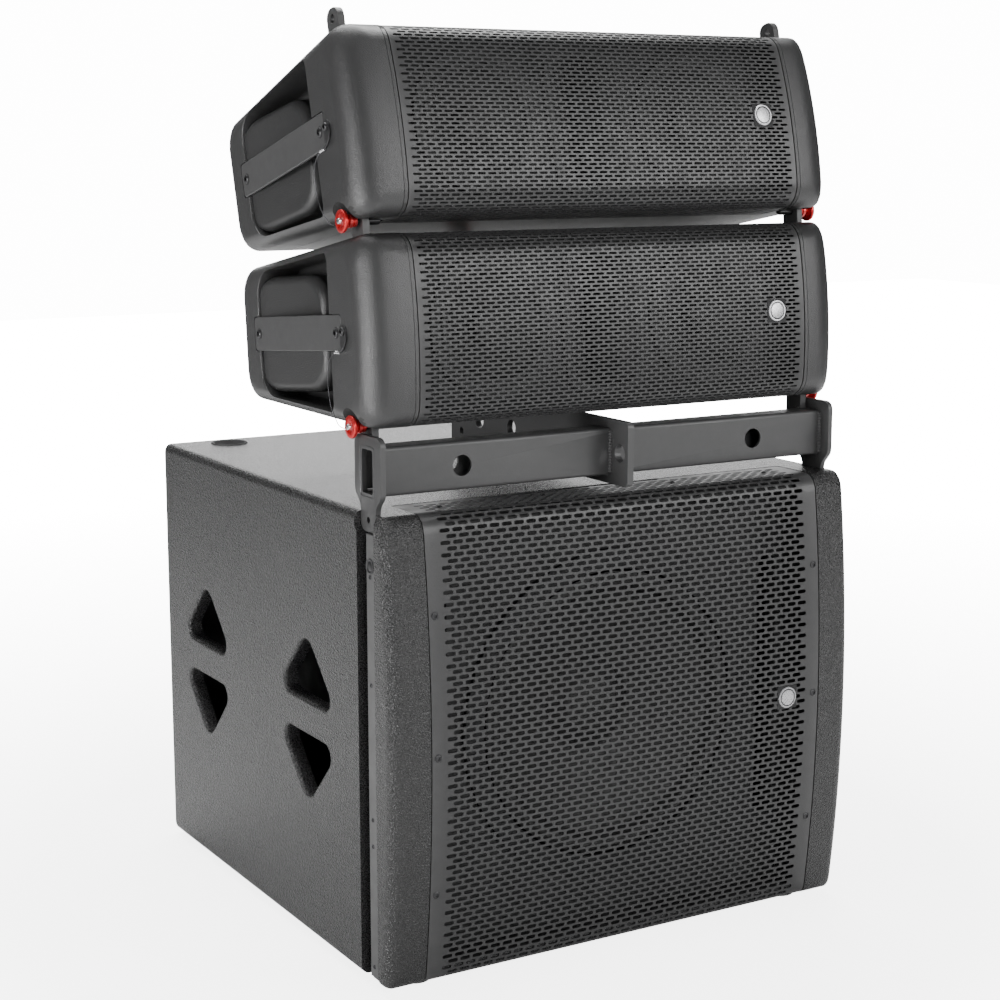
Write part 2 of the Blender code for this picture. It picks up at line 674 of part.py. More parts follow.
def build_box_woofer(name, x, mount, frame):
    face = mount - GAP
    bm = bmesh.new()
    profile = [(0.012, 0.008), (0.006, 0.020), (0.016, 0.024), (-0.001, 0.056), (-0.005, 0.060),
               (-0.005, 0.066), (-0.003, 0.069), (-0.004, 0.080), (0, 0.081), (0, 0.0685),
               (0.008, 0.067), (0.042, 0.045), (0.050, 0.045), (0.072, 0.045), (0.072, 0.010)]
    turn(bm, [(face + along, radius) for along, radius in profile], (x, BOX_MID), "Y", 32)
    solid(name, bm, driver_black, frame)


def build_waveguide(box, mount, frame):
    """Horn with its slot throat and the compression driver behind it, as one moulding."""
    face = mount - GAP
    bm = bmesh.new()
    sections = [(0.050, 0.006, 0.050), (0.030, 0.008, 0.058), (0.008, 0.026, 0.068), (-0.003, 0.044, 0.074),
                (-0.003, 0.054, 0.080), (0, 0.054, 0.080), (0, 0.046, 0.071), (0.012, 0.038, 0.070),
                (0.060, 0.030, 0.058), (0.062, 0.045, 0.045), (0.105, 0.045, 0.045)]
    oval_loft(bm, [(face + y, hx, hz) for y, hx, hz in sections], (0, BOX_MID))
    solid(f"{box}_waveguide", bm, driver_black, frame)


def build_handle(side, name, frame):
    bm = bmesh.new()
    low, high = BOX_MID - HANDLE_HALF, BOX_MID + HANDLE_HALF
    outline = rounded([(HANDLE_FRONT, low, 0.012), (HANDLE_BACK, low, 0.003),
                       (HANDLE_BACK, high, 0.003), (HANDLE_FRONT, high, 0.012)])
    extrude(bm, outline, *mirrored((0.3081, 0.3119), side))
    solid(name, bm, coated_steel, frame)


def build_link_plate(side, name, frame):
    """Plate that stands out of the top near the front and takes the next box's pin."""
    y, z = LINK_HOLE
    front, back = y - LUG_WIDTH / 2, y + LUG_WIDTH / 2
    bm = bmesh.new()
    outline = rounded([(front, 0.1503, 0), (back, 0.1503, 0),
                       (back, z + LUG_CROWN, 0.0112), (front, z + LUG_CROWN, 0.0112)], 6)
    extrude(bm, outline, *mirrored((LUG_INNER, LUG_OUTER), side))
    plate = solid(name, bm, coated_steel, frame)
    bm = bmesh.new()
    through = mirrored((LUG_INNER - THROUGH, LUG_OUTER + THROUGH), side)
    extrude(bm, circle(y, z, BORE_RADIUS), *through)
    combine(plate, bm)


def build_rear_bracket(box, frame):
    """Base plate on the box's back with a fin: pivot stub below, pin hole above."""
    base = BOX_BACK + GAP
    bm = bmesh.new()
    extrude(bm, rectangle(-0.025, 0.025, BOX_MID - 0.040, BOX_MID + 0.040, 0.006), base, base + 0.004, "Y")
    bracket = solid(f"{box}_rear_bracket", bm, coated_steel, frame)
    bm = bmesh.new()
    low, high = BRACKET_PIVOT[1] - 0.012, BRACKET_HOLE[1] + 0.012
    tail = BRACKET_PIVOT[0] + 0.012
    extrude(bm, rounded([(base + 0.001, low + 0.020, 0), (base + 0.012, low, 0.004), (tail, low, 0.011),
                         (tail, high, 0.011), (base + 0.012, high, 0.004), (base + 0.001, high - 0.035, 0)]),
            -SPINE_HALF, SPINE_HALF)
    combine(bracket, bm, "UNION")
    bm = bmesh.new()
    turn(bm, [(0, 0.005), (0.0110, 0.005)], BRACKET_PIVOT, "X", 20)
    combine(bracket, bm, "UNION")
    bm = bmesh.new()
    extrude(bm, circle(*BRACKET_HOLE, BORE_RADIUS), -THROUGH, THROUGH)
    combine(bracket, bm)


def build_input_panel(box, frame):
    bm = bmesh.new()
    extrude(bm, rectangle(0.075, 0.175, 0.072, 0.126, 0.003), 0.272, 0.275, "Y")
    solid(f"{box}_input_panel", bm, coated_steel, frame)


def build_front_pin(side, box, word, frame):
    """Ball-lock pin along X: shaft, shoulder, grip disc, and the release button in its centre."""
    bm = bmesh.new()
    profile = [(PIN_TIP, 0.0035), (PIN_TIP + 0.002, SHAFT_RADIUS), (PIN_NECK, SHAFT_RADIUS),
               (PIN_NECK, 0.006), (PIN_STEP, 0.006), (PIN_STEP, 0.009), (PIN_DISC, 0.009),
               (PIN_DISC, 0.0115), (PIN_DISC + 0.001, 0.0125), (PIN_FACE - 0.001, 0.0125),
               (PIN_FACE, 0.0115), (PIN_FACE, BUTTON_RADIUS + GAP), (PIN_STEP - 0.001, BUTTON_RADIUS + GAP)]
    origin = (side * PIN_FACE, 0, 0)
    turn(bm, [(side * along, radius) for along, radius in profile], (0, 0), "X", 24)
    solid(f"{box}_pin_{word}", bm, red_anodised, frame, origin)
    bm = bmesh.new()
    profile = [(PIN_STEP + 0.002, BUTTON_RADIUS), (BUTTON_TIP - 0.001, BUTTON_RADIUS), (BUTTON_TIP, 0.0024)]
    turn(bm, [(side * along, radius) for along, radius in profile], (0, 0), "X", 16)
    solid(f"{box}_pin_button_{word}", bm, bright_metal, frame, origin)


def build_box(box, frame):
    build_box_shell(box, frame)
    build_box_grille(box, frame)
    mount = build_box_baffle(box, frame)
    build_waveguide(box, mount, frame)
    build_rear_bracket(box, frame)
    build_input_panel(box, frame)
    for side, word in ((-1, "left"), (1, "right")):
        build_box_woofer(f"{box}_woofer_{word}", side * 0.142, mount, frame)
        build_handle(side, f"{box}_handle_{word}", frame)
        build_link_plate(side, f"{box}_link_{word}", frame)
        build_front_pin(side, box, word, frame)


# ---------------------------------------------------------------- rear links

def tipped(point, tilt):
    """A box-frame (y, z) offset after the box tips back."""
    y, z = point
    return (y * math.cos(tilt) + z * math.sin(tilt), z * math.cos(tilt) - y * math.sin(tilt))


def offset(start, step):
    return (start[0] + step[0], start[1] + step[1])


def build_rear_link(name, pivot, pin):
    """Slotted bar that hangs from a box's bracket, leaning so that its slot meets the pin."""
    lean = math.atan2(pivot[0] - pin[0], pivot[1] - pin[1])
    frame = empty(f"{name}_pivot", (0, *pivot), lean)
    end = -(SLOT_END + SLOT_HALF + 0.0055)
    bm = bmesh.new()
    outline = rounded([(-LINK_RADIUS, end, 0.0109), (LINK_RADIUS, end, 0.0109),
                       (LINK_RADIUS, LINK_RADIUS, 0.0109), (-LINK_RADIUS, LINK_RADIUS, 0.0109)], 6)
    extrude(bm, outline, LINK_LOW, LINK_HIGH)
    link = solid(name, bm, coated_steel, frame)
    bm = bmesh.new()
    low, high = -SLOT_END - SLOT_HALF, -SLOT_START + SLOT_HALF
    slot = rectangle(-SLOT_HALF, SLOT_HALF, low, high, 0.0058)
    extrude(bm, slot, -THROUGH, THROUGH)
    extrude(bm, circle(0, 0, 0.0053), -THROUGH, THROUGH)
    combine(link, bm)


def build_rear_pin(name, place, tilt=0.0):
    frame = empty(f"{name}_axis", (0, *place), tilt)
    bm = bmesh.new()
    profile = [(-0.0070, 0.0035), (-0.0055, SHAFT_RADIUS), (0.0110, SHAFT_RADIUS), (0.0110, 0.006),
               (0.0145, 0.006), (0.0145, 0.009), (0.0175, 0.009), (0.0175, 0.0125), (0.0220, 0.0125)]
    turn(bm, profile, (0, 0), "X", 24)
    solid(name, bm, red_anodised, frame)


def build_line_array():
    build_sub()
    build_frame()
    lower = empty("lower_box_axis", (0, *LOWER_PIN), LOWER_TILT)
    build_box("lower", lower)
    upper_pin = offset(LOWER_PIN, tipped(LINK_HOLE, LOWER_TILT))
    upper = empty("upper_box_axis", (0, *upper_pin), UPPER_TILT)
    build_box("upper", upper)

    lower_pivot = offset(LOWER_PIN, tipped(BRACKET_PIVOT, LOWER_TILT))
    build_rear_link("lower_rear_link", lower_pivot, SPINE_HOLE)
    build_rear_pin("lower_rear_pin", SPINE_HOLE)
    upper_pivot = offset(upper_pin, tipped(BRACKET_PIVOT, UPPER_TILT))
    upper_hole = offset(LOWER_PIN, tipped(BRACKET_HOLE, LOWER_TILT))
    build_rear_link("upper_rear_link", upper_pivot, upper_hole)
    build_rear_pin("upper_rear_pin", upper_hole, LOWER_TILT)


for leftover in list(bpy.data.objects):
    bpy.data.objects.remove(leftover)
build_line_array()
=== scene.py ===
"""Looks of a ground-stacked line array: fine shells, perforated grilles, fastenings and finishes.

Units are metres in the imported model's frame: +Z up, the fronts face -Y, the floor is Z = 0.
Each wedge box is drawn in its own frame, whose origin is the axis of its front pins.
"""
import bisect
import json
import math

import bmesh
import bpy
from mathutils import Matrix, Vector


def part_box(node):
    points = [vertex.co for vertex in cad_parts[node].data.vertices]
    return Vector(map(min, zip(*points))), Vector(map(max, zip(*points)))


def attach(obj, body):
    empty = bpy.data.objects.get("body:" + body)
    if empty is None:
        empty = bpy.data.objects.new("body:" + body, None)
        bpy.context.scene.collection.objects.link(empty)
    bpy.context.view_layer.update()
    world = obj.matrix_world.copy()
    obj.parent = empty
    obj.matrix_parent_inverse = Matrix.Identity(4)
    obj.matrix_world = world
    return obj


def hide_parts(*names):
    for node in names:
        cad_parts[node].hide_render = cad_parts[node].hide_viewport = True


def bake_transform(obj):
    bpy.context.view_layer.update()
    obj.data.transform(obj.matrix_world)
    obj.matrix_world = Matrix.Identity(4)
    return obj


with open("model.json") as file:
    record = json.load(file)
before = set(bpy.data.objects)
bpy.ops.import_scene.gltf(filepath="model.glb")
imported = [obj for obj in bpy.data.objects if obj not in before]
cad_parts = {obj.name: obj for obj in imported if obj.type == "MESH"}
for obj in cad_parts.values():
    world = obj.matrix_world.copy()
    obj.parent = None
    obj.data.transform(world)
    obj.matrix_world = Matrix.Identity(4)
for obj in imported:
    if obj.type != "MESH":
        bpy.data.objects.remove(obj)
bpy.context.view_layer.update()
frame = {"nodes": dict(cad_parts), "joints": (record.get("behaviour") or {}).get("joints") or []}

NODES = frame["nodes"]
AXES = {joint["name"]: Vector(joint["pos_m"]) for joint in frame["joints"] if joint.get("pos_m")}
SIDES = ((-1, "left"), (1, "right"))
THROUGH = 0.02                    # how far a cutter runs past the surface it opens
CLEAR = 0.33                      # x beyond every side
GAP = 0.0003                      # play between parts that fit together

# Subwoofer cabinet
SUB_LOW, SUB_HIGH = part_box("sub_cabinet")
SUB_HALF_WIDTH, SUB_HALF_DEPTH = SUB_HIGH.x, SUB_HIGH.y
SUB_MID = (SUB_LOW.z + SUB_HIGH.z) / 2
SUB_HALF_HEIGHT = (SUB_HIGH.z - SUB_LOW.z) / 2
JOINT_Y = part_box("side_strip_left")[1].y + 0.0129    # where the sides end and the front cheeks begin
SHEET_END = JOINT_Y + 0.018                          # rear edge of the grille's fold over the lid
SUB_BARREL_RADIUS = 1.9
SUB_TOP_RADIUS, SUB_SILL_RADIUS, SUB_BACK_RADIUS = 0.020, 0.014, 0.006
SUB_SIDE_RADII = (0.015, 0.008, 0.010)               # front, back and top edges of the sides
SUB_OPENING = 0.250
SUB_GRILLE_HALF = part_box("sub_grille")[1].x
PLY = 0.018
HOLD_SPAN, HOLD_HEIGHT, GRIP_HALF = 0.153, 0.079, 0.0205
HOLD_PLACES = (JOINT_Y + 0.142, JOINT_Y + 0.434)
HOLD_FLARE = 0.0045
CUP_RADIUS = 0.0215
CUP_PLACES = [(side * (SUB_HALF_WIDTH - 0.076), 0.278) for side in (-1, 1)]
SCREW_HEIGHTS = (0.105, 0.260, 0.414)                # grille screws above the cabinet's base

# Wedge boxes, in their own frame
TILT = {"lower": math.radians(5), "upper": math.radians(15)}
BOX_MID, BOX_FRONT_HALF, BOX_TAPER = 0.099, 0.104, math.radians(5)
BOX_BARREL_RADIUS = 0.60
BOX_CORNER_RADIUS, BOX_BACK_RADIUS = 0.028, 0.030
BOX_SIDE_RADII = (0.040, 0.026, 0.022)
BOX_WALL, BOX_CAVITY_HALF = 0.008, 0.228
RECESS_FRONT, RECESS_BACK, RECESS_FLOOR = 0.034, 0.218, 0.262
PAD_FRONT, PAD_TOP, PAD_SLOPE = 0.086, 0.3085, 0.13  # ramp that fills the rear of each handle recess
HANDLE_FRONT, HANDLE_BACK, HANDLE_HALF = 0.006, 0.230, 0.019
HANDLE_INNER, HANDLE_OUTER = 0.3082, 0.3122
LINK_Y, LINK_HALF_WIDTH = -0.003, 0.0135
LUG_INNER, LUG_OUTER = 0.283, 0.291
SHAFT_RADIUS, BORE_RADIUS = 0.00475, 0.00505
DISC_INNER, DISC_OUTER, DISC_RADIUS = 0.3065, 0.3110, 0.0125
BUTTON_RADIUS, BUTTON_TIP = 0.0034, 0.3140

# Perforated sheets: slot length, slot height, pitch along a row, pitch between rows
SUB_SLOTS = (0.0127, 0.0044, 0.01525, 0.0066)
BOX_SLOTS = (0.0104, 0.0026, 0.0128, 0.0044)
SHEET = 0.0014
SPINE_FACE = 0.004
SEAT_DEPTH = 0.0023
SEAM = 0.0008                     # shadow gap beside each grille
STRIP_INNER, STRIP_OUTER = 0.3018, 0.3046
STRIP_FRONT, STRIP_BACK = JOINT_Y - 0.0304, JOINT_Y - 0.0048
GROOVE_FLOOR, GROOVE_BACK = 0.289, JOINT_Y + 0.009


# ---------------------------------------------------------------- frames and limits

def box_frame(box):
    return Matrix.Translation(AXES[f"{box}_box_tilt"]) @ Matrix.Rotation(-TILT[box], 4, "X")


def local_limits(node, box):
    """Lowest and highest corners of a CAD node in its box's own frame."""
    turned = box_frame(box).inverted()
    points = [turned @ vertex.co for vertex in NODES[node].data.vertices]
    return [Vector([pick(p[axis] for p in points) for axis in range(3)]) for pick in (min, max)]


SHELL_LOW, SHELL_HIGH = local_limits("lower_shell", "lower")
BOX_HALF_WIDTH, BOX_FRONT, BOX_BACK = SHELL_HIGH.x, SHELL_LOW.y, SHELL_HIGH.y
BOX_GRILLE_HALF = local_limits("lower_grille", "lower")[1].x


# ---------------------------------------------------------------- outlines

def rounded(corners, steps=8):
    """Outline of a polygon whose corners (u, v, radius) are rounded by arcs."""
    outline = []
    for index, (u, v, radius) in enumerate(corners):
        here = Vector((u, v))
        before = (Vector(corners[index - 1][:2]) - here).normalized()
        after = (Vector(corners[(index + 1) % len(corners)][:2]) - here).normalized()
        if radius == 0:
            outline.append((u, v))
            continue
        half = before.angle(after) / 2
        centre = here + (before + after).normalized() * radius / math.sin(half)
        start = here + before * radius / math.tan(half) - centre
        sweep = start.angle_signed(here + after * radius / math.tan(half) - centre)
        for step in range(steps + 1):
            outline.append(tuple(centre + Matrix.Rotation(-sweep * step / steps, 2) @ start))
    return outline


def rectangle(u0, u1, v0, v1, radius=0.0, steps=8):
    return rounded([(u0, v0, radius), (u1, v0, radius), (u1, v1, radius), (u0, v1, radius)], steps)


def circle(u, v, radius, sides=32):
    turn_by = 2 * math.pi / sides
    return [(u + radius * math.cos(i * turn_by), v + radius * math.sin(i * turn_by)) for i in range(sides)]


def bowed_front(front, middle, half, curve_radius, top_radius, low_radius, steps=20):
    """Corners down a vertically bowed front, most forward at mid height, ending in rounded edges."""
    clear = 1.3 * max(top_radius, low_radius)
    reach = half - clear
    heights = [half] + [reach * (1 - 2 * i / steps) for i in range(steps + 1)] + [-half]
    radii = [top_radius] + [0] * (steps + 1) + [low_radius]
    return [(front + h * h / (2 * curve_radius), middle + h, r) for h, r in zip(heights, radii)]


def sub_outline():
    rear = [(SUB_HALF_DEPTH, SUB_LOW.z, SUB_BACK_RADIUS), (SUB_HALF_DEPTH, SUB_HIGH.z, SUB_BACK_RADIUS)]
    return rounded(rear + bowed_front(-SUB_HALF_DEPTH, SUB_MID, SUB_HALF_HEIGHT, SUB_BARREL_RADIUS,
                                      SUB_TOP_RADIUS, SUB_SILL_RADIUS))


def box_half_height(y):
    return BOX_FRONT_HALF - (y - BOX_FRONT) * math.tan(BOX_TAPER)


def box_outline():
    rear = box_half_height(BOX_BACK)
    corners = [(BOX_BACK, BOX_MID - rear, BOX_BACK_RADIUS), (BOX_BACK, BOX_MID + rear, BOX_BACK_RADIUS)]
    return rounded(corners + bowed_front(BOX_FRONT, BOX_MID, BOX_FRONT_HALF, BOX_BARREL_RADIUS,
                                         BOX_CORNER_RADIUS, BOX_CORNER_RADIUS))


def wedge(front, back, inset, front_radius, back_radius):
    """Tapered outline that follows a box's top and bottom, inset from them."""
    near, far = box_half_height(front) - inset, box_half_height(back) - inset
    return rounded([(back, BOX_MID - far, back_radius), (back, BOX_MID + far, back_radius),
                    (front, BOX_MID + near, front_radius), (front, BOX_MID - near, front_radius)])


def normals(outline):
    """Outward unit normals of a closed outline, one for each point."""
    found = []
    for index in range(len(outline)):
        along = Vector(outline[(index + 1) % len(outline)]) - Vector(outline[index - 1])
        found.append(Vector((along.y, -along.x)).normalized())
    area = sum(a[0] * b[1] - b[0] * a[1] for a, b in zip(outline, outline[1:] + outline[:1]))
    return found if area > 0 else [-n for n in found]


def front_path(outline, limit_y):
    """(point, outward normal) pairs over the part of an outline in front of limit_y, top to bottom."""
    points, facing = [Vector(p) for p in outline], normals(outline)
    kept = [index for index, point in enumerate(points) if point.x < limit_y]
    path = [(points[index], facing[index]) for index in kept]
    middle = sum(point.y for point in points) / len(points)
    for end, neighbour in ((0, points[kept[0] - 1]), (-1, points[(kept[-1] + 1) % len(points)])):
        near = path[end][0]
        edge = near + (neighbour - near) * (limit_y - near.x) / (neighbour.x - near.x)
        square = Vector((0, math.copysign(1, edge.y - middle)))
        path.insert(len(path) if end else 0, (edge, square))
    return path


def across(side, inner, outer):
    """Lowest and highest x of a span on one side of the middle."""
    return sorted((side * inner, side * outer))


def mirrored(pairs, side):
    return [(side * first, second) for first, second in pairs]


def band(path, outer, inner):
    """Closed strip between two offsets of a path."""
    return [tuple(p + n * outer) for p, n in path] + [tuple(p + n * inner) for p, n in reversed(path)]


# ---------------------------------------------------------------- shapes

def ring_of(bm, outline, place):
    return [bm.verts.new(place(u, v)) for u, v in outline]


def bridge(bm, first, second):
    for index in range(len(first)):
        after = (index + 1) % len(first)
        bm.faces.new((first[index], first[after], second[after], second[index]))


def placer(axis, distance, centre=(0, 0)):
    a, b = centre
    if axis == "X":
        return lambda u, v: (distance, a + u, b + v)
    if axis == "Y":
        return lambda u, v: (a + u, distance, b + v)
    return lambda u, v: (a + u, b + v, distance)


def loft(bm, rings, closed=False):
    for first, second in zip(rings, rings[1:]):
        bridge(bm, first, second)
    if closed:
        bridge(bm, rings[-1], rings[0])
    else:
        bm.faces.new(rings[0])
        bm.faces.new(rings[-1])


def extrude(bm, outline, low, high, axis="X"):
    loft(bm, [ring_of(bm, outline, placer(axis, d)) for d in (low, high)])


def slab(bm, x, y, z, radius=0.0):
    extrude(bm, rectangle(*y, *z, radius), *x)


def turn(bm, profile, centre=(0, 0), axis="X", sides=32, closed=False):
    """Solid of revolution from (distance along the axis, radius) pairs."""
    loft(bm, [ring_of(bm, circle(0, 0, r, sides), placer(axis, d, centre)) for d, r in profile], closed)


def plate(bm, outline, low, high, edge=0.0008, axis="X"):
    """Prism with chamfered rims."""
    facing = normals(outline)
    span = math.copysign(edge, high - low)
    levels = ((low, edge), (low + span, 0), (high - span, 0), (high, edge))
    rings = []
    for distance, inset in levels:
        shrunk = [(u - n.x * inset, v - n.y * inset) for (u, v), n in zip(outline, facing)]
        rings.append(ring_of(bm, shrunk, placer(axis, distance)))
    loft(bm, rings)


def pillow(bm, outline, half_width, radii, steps=9):
    """The outline extruded to both sides, with side edges rounded by (front, back, top) radii."""
    front, back, top = radii
    y_low, y_high = min(p[0] for p in outline), max(p[0] for p in outline)
    z_low, z_high = min(p[1] for p in outline), max(p[1] for p in outline)
    middle, half = (z_low + z_high) / 2, (z_high - z_low) / 2
    rings = []
    for sign in (-1, 1):
        side = []
        for step in range(steps + 1):
            angle = math.pi / 2 * step / steps
            pull = 1 - math.cos(angle)
            ring = []
            for (y, z), normal in zip(outline, normals(outline)):
                facing = max(0.0, -normal.x) ** 2 * front + max(0.0, normal.x) ** 2 * back
                x = half_width - (facing + normal.y ** 2 * top) * (1 - math.sin(angle))
                nearness = (y_high - y) / (y_high - y_low)
                shift = (front * nearness - back * (1 - nearness)) * pull
                squeeze = 1 - top / half * pull
                ring.append(bm.verts.new((sign * x, y + shift, middle + (z - middle) * squeeze)))
            side.append(ring)
        rings = side[::-1] if sign < 0 else rings + side
    loft(bm, rings)


def mouth(bm, outline, side, surface, depth, flare, floor_round=0.0, steps=6):
    """Cutter for a side opening whose rim rounds over, and whose floor meets its walls in a fillet."""
    levels = [(surface + THROUGH, flare)]
    angles = [math.pi / 2 * step / steps for step in range(steps + 1)]
    levels += [(surface - flare * (1 - math.cos(a)), flare * (1 - math.sin(a))) for a in angles]
    floor = surface - depth
    if floor_round:
        levels += [(floor + floor_round * (1 - math.sin(a)), -floor_round * (1 - math.cos(a)))
                   for a in angles]
    else:
        levels.append((floor, 0))
    facing = normals(outline)
    rings = []
    for x, grow in levels:
        grown = [(u + n.x * grow, v + n.y * grow) for (u, v), n in zip(outline, facing)]
        rings.append(ring_of(bm, grown, placer("X", side * x)))
    loft(bm, rings)


def smooth_curve(points, steps=10):
    """Catmull-Rom curve through the points."""
    points = [Vector(p) for p in points]
    line = [2 * points[0] - points[1]] + points + [2 * points[-1] - points[-2]]
    curve = []
    for a, b, c, d in zip(line, line[1:], line[2:], line[3:]):
        for step in range(steps):
            t = step / steps
            curve.append(0.5 * (2 * b + (c - a) * t + (2 * a - 5 * b + 4 * c - d) * t * t
                                + (3 * b - a - 3 * c + d) * t ** 3))
    return curve + [points[-1]]


def tube(bm, curve, radius, sides=10):
    """Round bar along a curve; radius is a number or a function of the point's index."""
    size = radius if callable(radius) else lambda index: radius
    across = Vector((0.31, 0.87, 0.38))
    rings = []
    for index, point in enumerate(curve):
        along = (curve[min(index + 1, len(curve) - 1)] - curve[max(index - 1, 0)]).normalized()
        across = (across - along * across.dot(along)).normalized()
        third = along.cross(across)
        rings.append([bm.verts.new(point + across * u + third * v)
                      for u, v in circle(0, 0, size(index), sides)])
    loft(bm, rings)


def weld_bead(bm, start, end, radius=0.0026, pitch=0.0032):
    """Rippled bead laid along a straight joint."""
    start, end = Vector(start), Vector(end)
    count = max(8, int((end - start).length / pitch * 4))
    curve = [start.lerp(end, index / count) for index in range(count + 1)]
    tube(bm, curve, lambda index: radius * (0.72 + 0.28 * abs(math.sin(index * math.pi / 4))), 8)


def screw(bm, place, axis, radius=0.0042, height=0.0022, outward=1):
    """Button-head screw with a hexagon socket, standing on the surface at place."""
    hexagon = lambda a: 0.866 / math.cos((a + math.pi / 6) % (math.pi / 3) - math.pi / 6)
    sides = 24
    angles = [2 * math.pi * index / sides for index in range(sides)]
    profile = [(-0.0004, 1.0, 0), (height * 0.35, 1.0, 0), (height * 0.72, 0.88, 0),
               (height * 0.94, 0.70, 0), (height, 0.60, 0), (height, 0.50, 1), (height * 0.25, 0.48, 1)]
    slots = {"X": (0, 1, 2), "Y": (1, 0, 2), "Z": (2, 0, 1)}[axis]
    rings = []
    for lift, share, hexed in profile:
        ring = []
        for angle in angles:
            reach = radius * share * (hexagon(angle) if hexed else 1)
            point = list(place)
            point[slots[0]] += outward * lift
            point[slots[1]] += reach * math.cos(angle)
            point[slots[2]] += reach * math.sin(angle)
            ring.append(bm.verts.new(point))
        rings.append(ring)
    loft(bm, rings)


# ---------------------------------------------------------------- pieces

def shade(mesh, angle=35):
    mesh.shade_smooth()
    mesh.set_sharp_from_angle(angle=math.radians(angle))


def object_of(name, bm):
    bmesh.ops.recalc_face_normals(bm, faces=bm.faces)
    mesh = bpy.data.meshes.new(name)
    bm.to_mesh(mesh)
    bm.free()
    found = bpy.data.objects.new(name, mesh)
    bpy.context.scene.collection.objects.link(found)
    return found


def bake(target):
    """Replace an object's mesh by what its modifiers make of it."""
    shaped = target.evaluated_get(bpy.context.evaluated_depsgraph_get())
    made = bpy.data.meshes.new_from_object(shaped)
    old = target.data
    target.modifiers.clear()
    target.data = made
    bpy.data.meshes.remove(old)


def carve(target, bm, operation="DIFFERENCE"):
    """Cut the shapes out of the target, or join them to it."""
    tool = object_of("tool", bm)
    step = target.modifiers.new("carve", "BOOLEAN")
    step.object = tool
    step.operation = operation
    step.solver = "EXACT"
    bake(target)
    bpy.data.objects.remove(tool)


def finished(target, finish, body, box=None, stands_for=(), weighted=False, angle=35, lined_or_shaded=None):
    """Shading, finish, place and body of a piece; with a box, its mesh is in that box's frame.

    The last argument tells from a face's centre whether a face takes the flat black lining: the real
    interior, or a pin pocket, where the dark lining is painted shade."""
    target.data.materials.clear()
    target.data.materials.append(finish)
    if lined_or_shaded:
        target.data.materials.append(LINING_AND_POCKET_SHADE)
        for face in target.data.polygons:
            face.material_index = int(lined_or_shaded(face.center))
    if box:
        target.data.transform(box_frame(box))
    shade(target.data, angle)
    if weighted:
        step = target.modifiers.new("even_shading", "WEIGHTED_NORMAL")
        step.keep_sharp = True
    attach(target, body)
    if stands_for:
        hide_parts(*stands_for)
    return target


def piece(name, bm, finish, body, box=None, stands_for=()):
    return finished(object_of(name, bm), finish, body, box, stands_for)


def refined(node, name, body, width, finish=None):
    """Finer stand-in for a CAD node: its own mesh with flats merged and sharp edges rounded."""
    bm = bmesh.new()
    bm.from_mesh(NODES[node].data)
    bmesh.ops.remove_doubles(bm, verts=bm.verts, dist=0.00002)
    bmesh.ops.dissolve_limit(bm, angle_limit=math.radians(0.5), verts=bm.verts, edges=bm.edges)
    target = object_of(name, bm)
    step = target.modifiers.new("edges", "BEVEL")
    step.width = width
    step.segments = 2
    step.limit_method = "ANGLE"
    step.angle_limit = math.radians(50)
    step.use_clamp_overlap = True
    bake(target)
    return finished(target, finish or COAT, body, stands_for=[node], weighted=True)


# ---------------------------------------------------------------- finishes

def add_node(tree, kind, inputs=(), **settings):
    """New shader node; each input takes a number, a colour or another node's socket."""
    node = tree.nodes.new(f"ShaderNode{kind}")
    for name, value in settings.items():
        setattr(node, name, value)
    for socket, value in dict(inputs).items():
        if isinstance(value, bpy.types.NodeSocket):
            tree.links.new(value, node.inputs[socket])
        else:
            node.inputs[socket].default_value = value
    return node


def ranged(tree, value, low, high, out_low, out_high):
    """Socket that carries a value's range over to another range."""
    inputs = {"Value": value, "From Min": low, "From Max": high, "To Min": out_low, "To Max": out_high}
    return add_node(tree, "MapRange", inputs).outputs["Result"]


